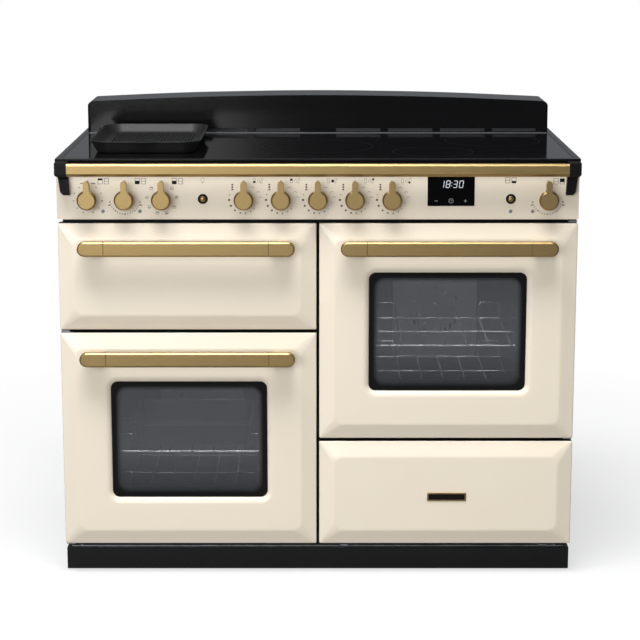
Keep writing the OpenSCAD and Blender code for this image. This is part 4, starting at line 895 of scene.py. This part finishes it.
def zone_scale(n, x):
    """A hob zone's dial: squares that shrink round the knob, and an icon of the zones with
    the knob's own one filled."""
    for k in (-1, 0, 1):
        px, pz = polar(x, -44, 34.5)
        bar(px, pz + k * 5.0, 3.4, 3.2, PANEL_Y)
    spot(*polar(x, -73.5, 31), 1.1, PANEL_Y, 8)
    for k, angle in enumerate((-94, -118, -142, -165, 174, 153, 134, 107)):
        size = 4.0 - k * 0.38
        bar(*polar(x, angle, 31 - k * 0.15), size, size, PANEL_Y)
    box_x, box_z = x + 22, KNOB_Z + 38
    frame_box(box_x, box_z, 5.2, 9, 0.5, PANEL_Y)
    if n < 2:
        bar(box_x, box_z + (-2.2, 2.2)[n], 4.4, 4.2, PANEL_Y)
    if n == 2:
        spot(x + 31, KNOB_Z + 37.5, 3.1, PANEL_Y, 18)
    else:
        hoop(x + 31, KNOB_Z + 37.5, 3.1, 0.5, PANEL_Y, sides=18)
    for dx, dz, filled in ((38, 41, n == 3), (36.5, 34.5, n == 4)):
        if filled:
            spot(x + dx, KNOB_Z + dz, 2.3, PANEL_Y, 14)
        else:
            hoop(x + dx, KNOB_Z + dz, 2.1, 0.45, PANEL_Y, sides=14)


marks = blank("panel_legends")
for x in KNOBS:
    hoop(x, KNOB_Z + 37, 1.7, 0.7, PANEL_Y, sides=12)
level_scale(KNOBS[0])
temperature_scale(KNOBS[1])
temperature_scale(KNOBS[8])
function_scale(KNOBS[2])
two_boxes(KNOBS[0] + 33, KNOB_Z + 37, (0.66, 1.0), (0.5, 0.5))
two_boxes(KNOBS[1] + 33, KNOB_Z + 37, (0.0, 0.6), (0.5, 0.5))
two_boxes(KNOBS[2] + 33, KNOB_Z + 37, (0.0, 0.6), (0.5, 0.5))
two_boxes(KNOBS[8] + 22.7, KNOB_Z + 37, (0.5, 0.5), (0.35, 1.0))
two_boxes(RIGHT_BUTTON_X - 0.7, KNOB_Z + 39, (0.5, 0.5), (0.0, 0.4))
for n, x in enumerate(KNOBS[3:8]):
    zone_scale(n, x)
done(marks, INK, "black_enamel")

# In grey: three small tufts of strokes right of each zone knob, and a lamp over the left button
faint = blank("panel_legends_grey")
for x in KNOBS[3:8]:
    for dx, dz in ((17.7, 24.7), (29.6, 15.3), (34.5, 4.5)):
        for k, lean in enumerate((60, 90, 125)):
            bar(x + dx - 2.6 + k * 2.6, KNOB_Z + dz - abs(k - 1) * 1.1, 0.7, 3.0, PANEL_Y, lean)
hoop(LEFT_BUTTON_X, KNOB_Z + 39.5, 4.0, 0.5, PANEL_Y, sides=20)
bar(LEFT_BUTTON_X, KNOB_Z + 34.2, 3.2, 0.6, PANEL_Y)
bar(LEFT_BUTTON_X, KNOB_Z + 32.9, 2.4, 0.6, PANEL_Y)
done(faint, GREY_INK, "black_enamel")

# Clock: slanted seven-segment digits, and touch marks under them
SEGMENTS = {"1": "bc", "8": "abcdefg", "3": "abcdg", "0": "abcdef"}
GLASS_Y = -0.06
CLOCK_X, DIGITS_Z, TOUCH_Z = 277.5, 852, 817
SLOPE = 0.14


def digit(x, z, sign):
    """One digit, in bars that lean to the right."""
    w, h, t = 7.4, 14.0, 1.15
    spots = {"a": (0, h / 2, 0), "g": (0, 0, 0), "d": (0, -h / 2, 0),
             "b": (w / 2, h / 4, 1), "c": (w / 2, -h / 4, 1),
             "f": (-w / 2, h / 4, 1), "e": (-w / 2, -h / 4, 1)}
    for part in SEGMENTS[sign]:
        dx, dz, upright = spots[part]
        if upright:
            bar(x + dx + SLOPE * dz, z + dz, t, h / 2 - t * 0.7, GLASS_Y, 8)
        else:
            bar(x + dx + SLOPE * dz, z + dz, w - t * 0.7, t, GLASS_Y)


clock = blank("clock_digits")
for sign, x in (("1", -19), ("8", -6.5), ("3", 8.5), ("0", 21)):
    digit(CLOCK_X + x, DIGITS_Z, sign)
for dz in (-3.2, 3.2):
    bar(CLOCK_X + 1.2 + dz * SLOPE, DIGITS_Z + dz, 1.5, 1.5, GLASS_Y)
done(clock, LIT, "display_glass")
touch = blank("clock_touch_marks")
bar(CLOCK_X - 31, TOUCH_Z, 6, 1.1, GLASS_Y)
bar(CLOCK_X + 30, TOUCH_Z, 6, 1.1, GLASS_Y)
bar(CLOCK_X + 30, TOUCH_Z, 1.1, 6, GLASS_Y)
hoop(CLOCK_X, TOUCH_Z, 5, 0.9, GLASS_Y, sides=28)
bar(CLOCK_X, TOUCH_Z + 1.3, 0.8, 3.4, GLASS_Y)
bar(CLOCK_X + 1.2, TOUCH_Z, 2.6, 0.8, GLASS_Y)
done(touch, DIM, "display_glass")

# Hob print: a thin ring round each zone
GLASS_TOP = 905
rings = blank("hob_zone_rings")
for x, y, dia in ((0, 223, 241), (245, 122, 171), (390, 325, 212),
                  (GRIDDLE_MID, 160.5, 190), (GRIDDLE_MID, 360.5, 190)):
    hoop(x, y, dia / 2, 0.9, GLASS_TOP + 0.03, sides=96, flat=True)
done(rings, PALE_INK, "hob_glass", up=True)

# ---------------------------------------------------------------- small parts

def small_part(name, loops, material, body, slot, flat=False, steps=4):
    """A little plate or strip, closed at both ends."""
    piece = loft(name, loops, steps, flat)
    smooth(piece)
    dress(piece, material, body, slot)


# Bright strip between the glass and the upstand, and the dark mesh behind its cooling slots
small_part("upstand_foot_strip", [((-530, 530), (479.4, 482), 0.4, GLASS_TOP),
                                  ((-530, 530), (479.4, 482), 0.4, GLASS_TOP + 1.3),
                                  ((-529.8, 529.8), (479.8, 482), 0.4, GLASS_TOP + 1.7)],
           TRIM, "cooker", "aluminium", flat=True, steps=2)
small_part("upstand_vent_mesh", [((-505, 505), (906, 922), 1, 487.5),
                                 ((-505, 505), (906, 922), 1, 487.0),
                                 ((-504.7, 504.7), (906.3, 921.7), 0.8, 486.8)],
           VENT, "cooker", "galvanised", steps=2)

# Bare plate on the drawer: a brass rim round a dark field
small_part("drawer_plate", [((234, 318), (168, 187), 3, FACE_Y),
                            ((234, 318), (168, 187), 3, FACE_Y - 0.8),
                            ((234.6, 317.4), (168.6, 186.4), 2.6, FACE_Y - 1.4),
                            ((236, 316), (170, 185), 2, FACE_Y - 1.5),
                            ((236.6, 315.4), (170.6, 184.4), 1.8, FACE_Y - 1.1)],
           BRASS, "drawer", "brass")
small_part("drawer_plate_field", [((237.2, 314.8), (171.2, 183.8), 1.4, FACE_Y - 1.0),
                                  ((237.2, 314.8), (171.2, 183.8), 1.4, FACE_Y - 1.25),
                                  ((237.5, 314.5), (171.5, 183.5), 1.2, FACE_Y - 1.35)],
           BLACK_PLASTIC, "drawer", "black_plastic")

# ---------------------------------------------------------------- picture

camera()
room_light()
paper_floor()
lamps()
bpy.context.scene.view_settings.view_transform = "Standard"
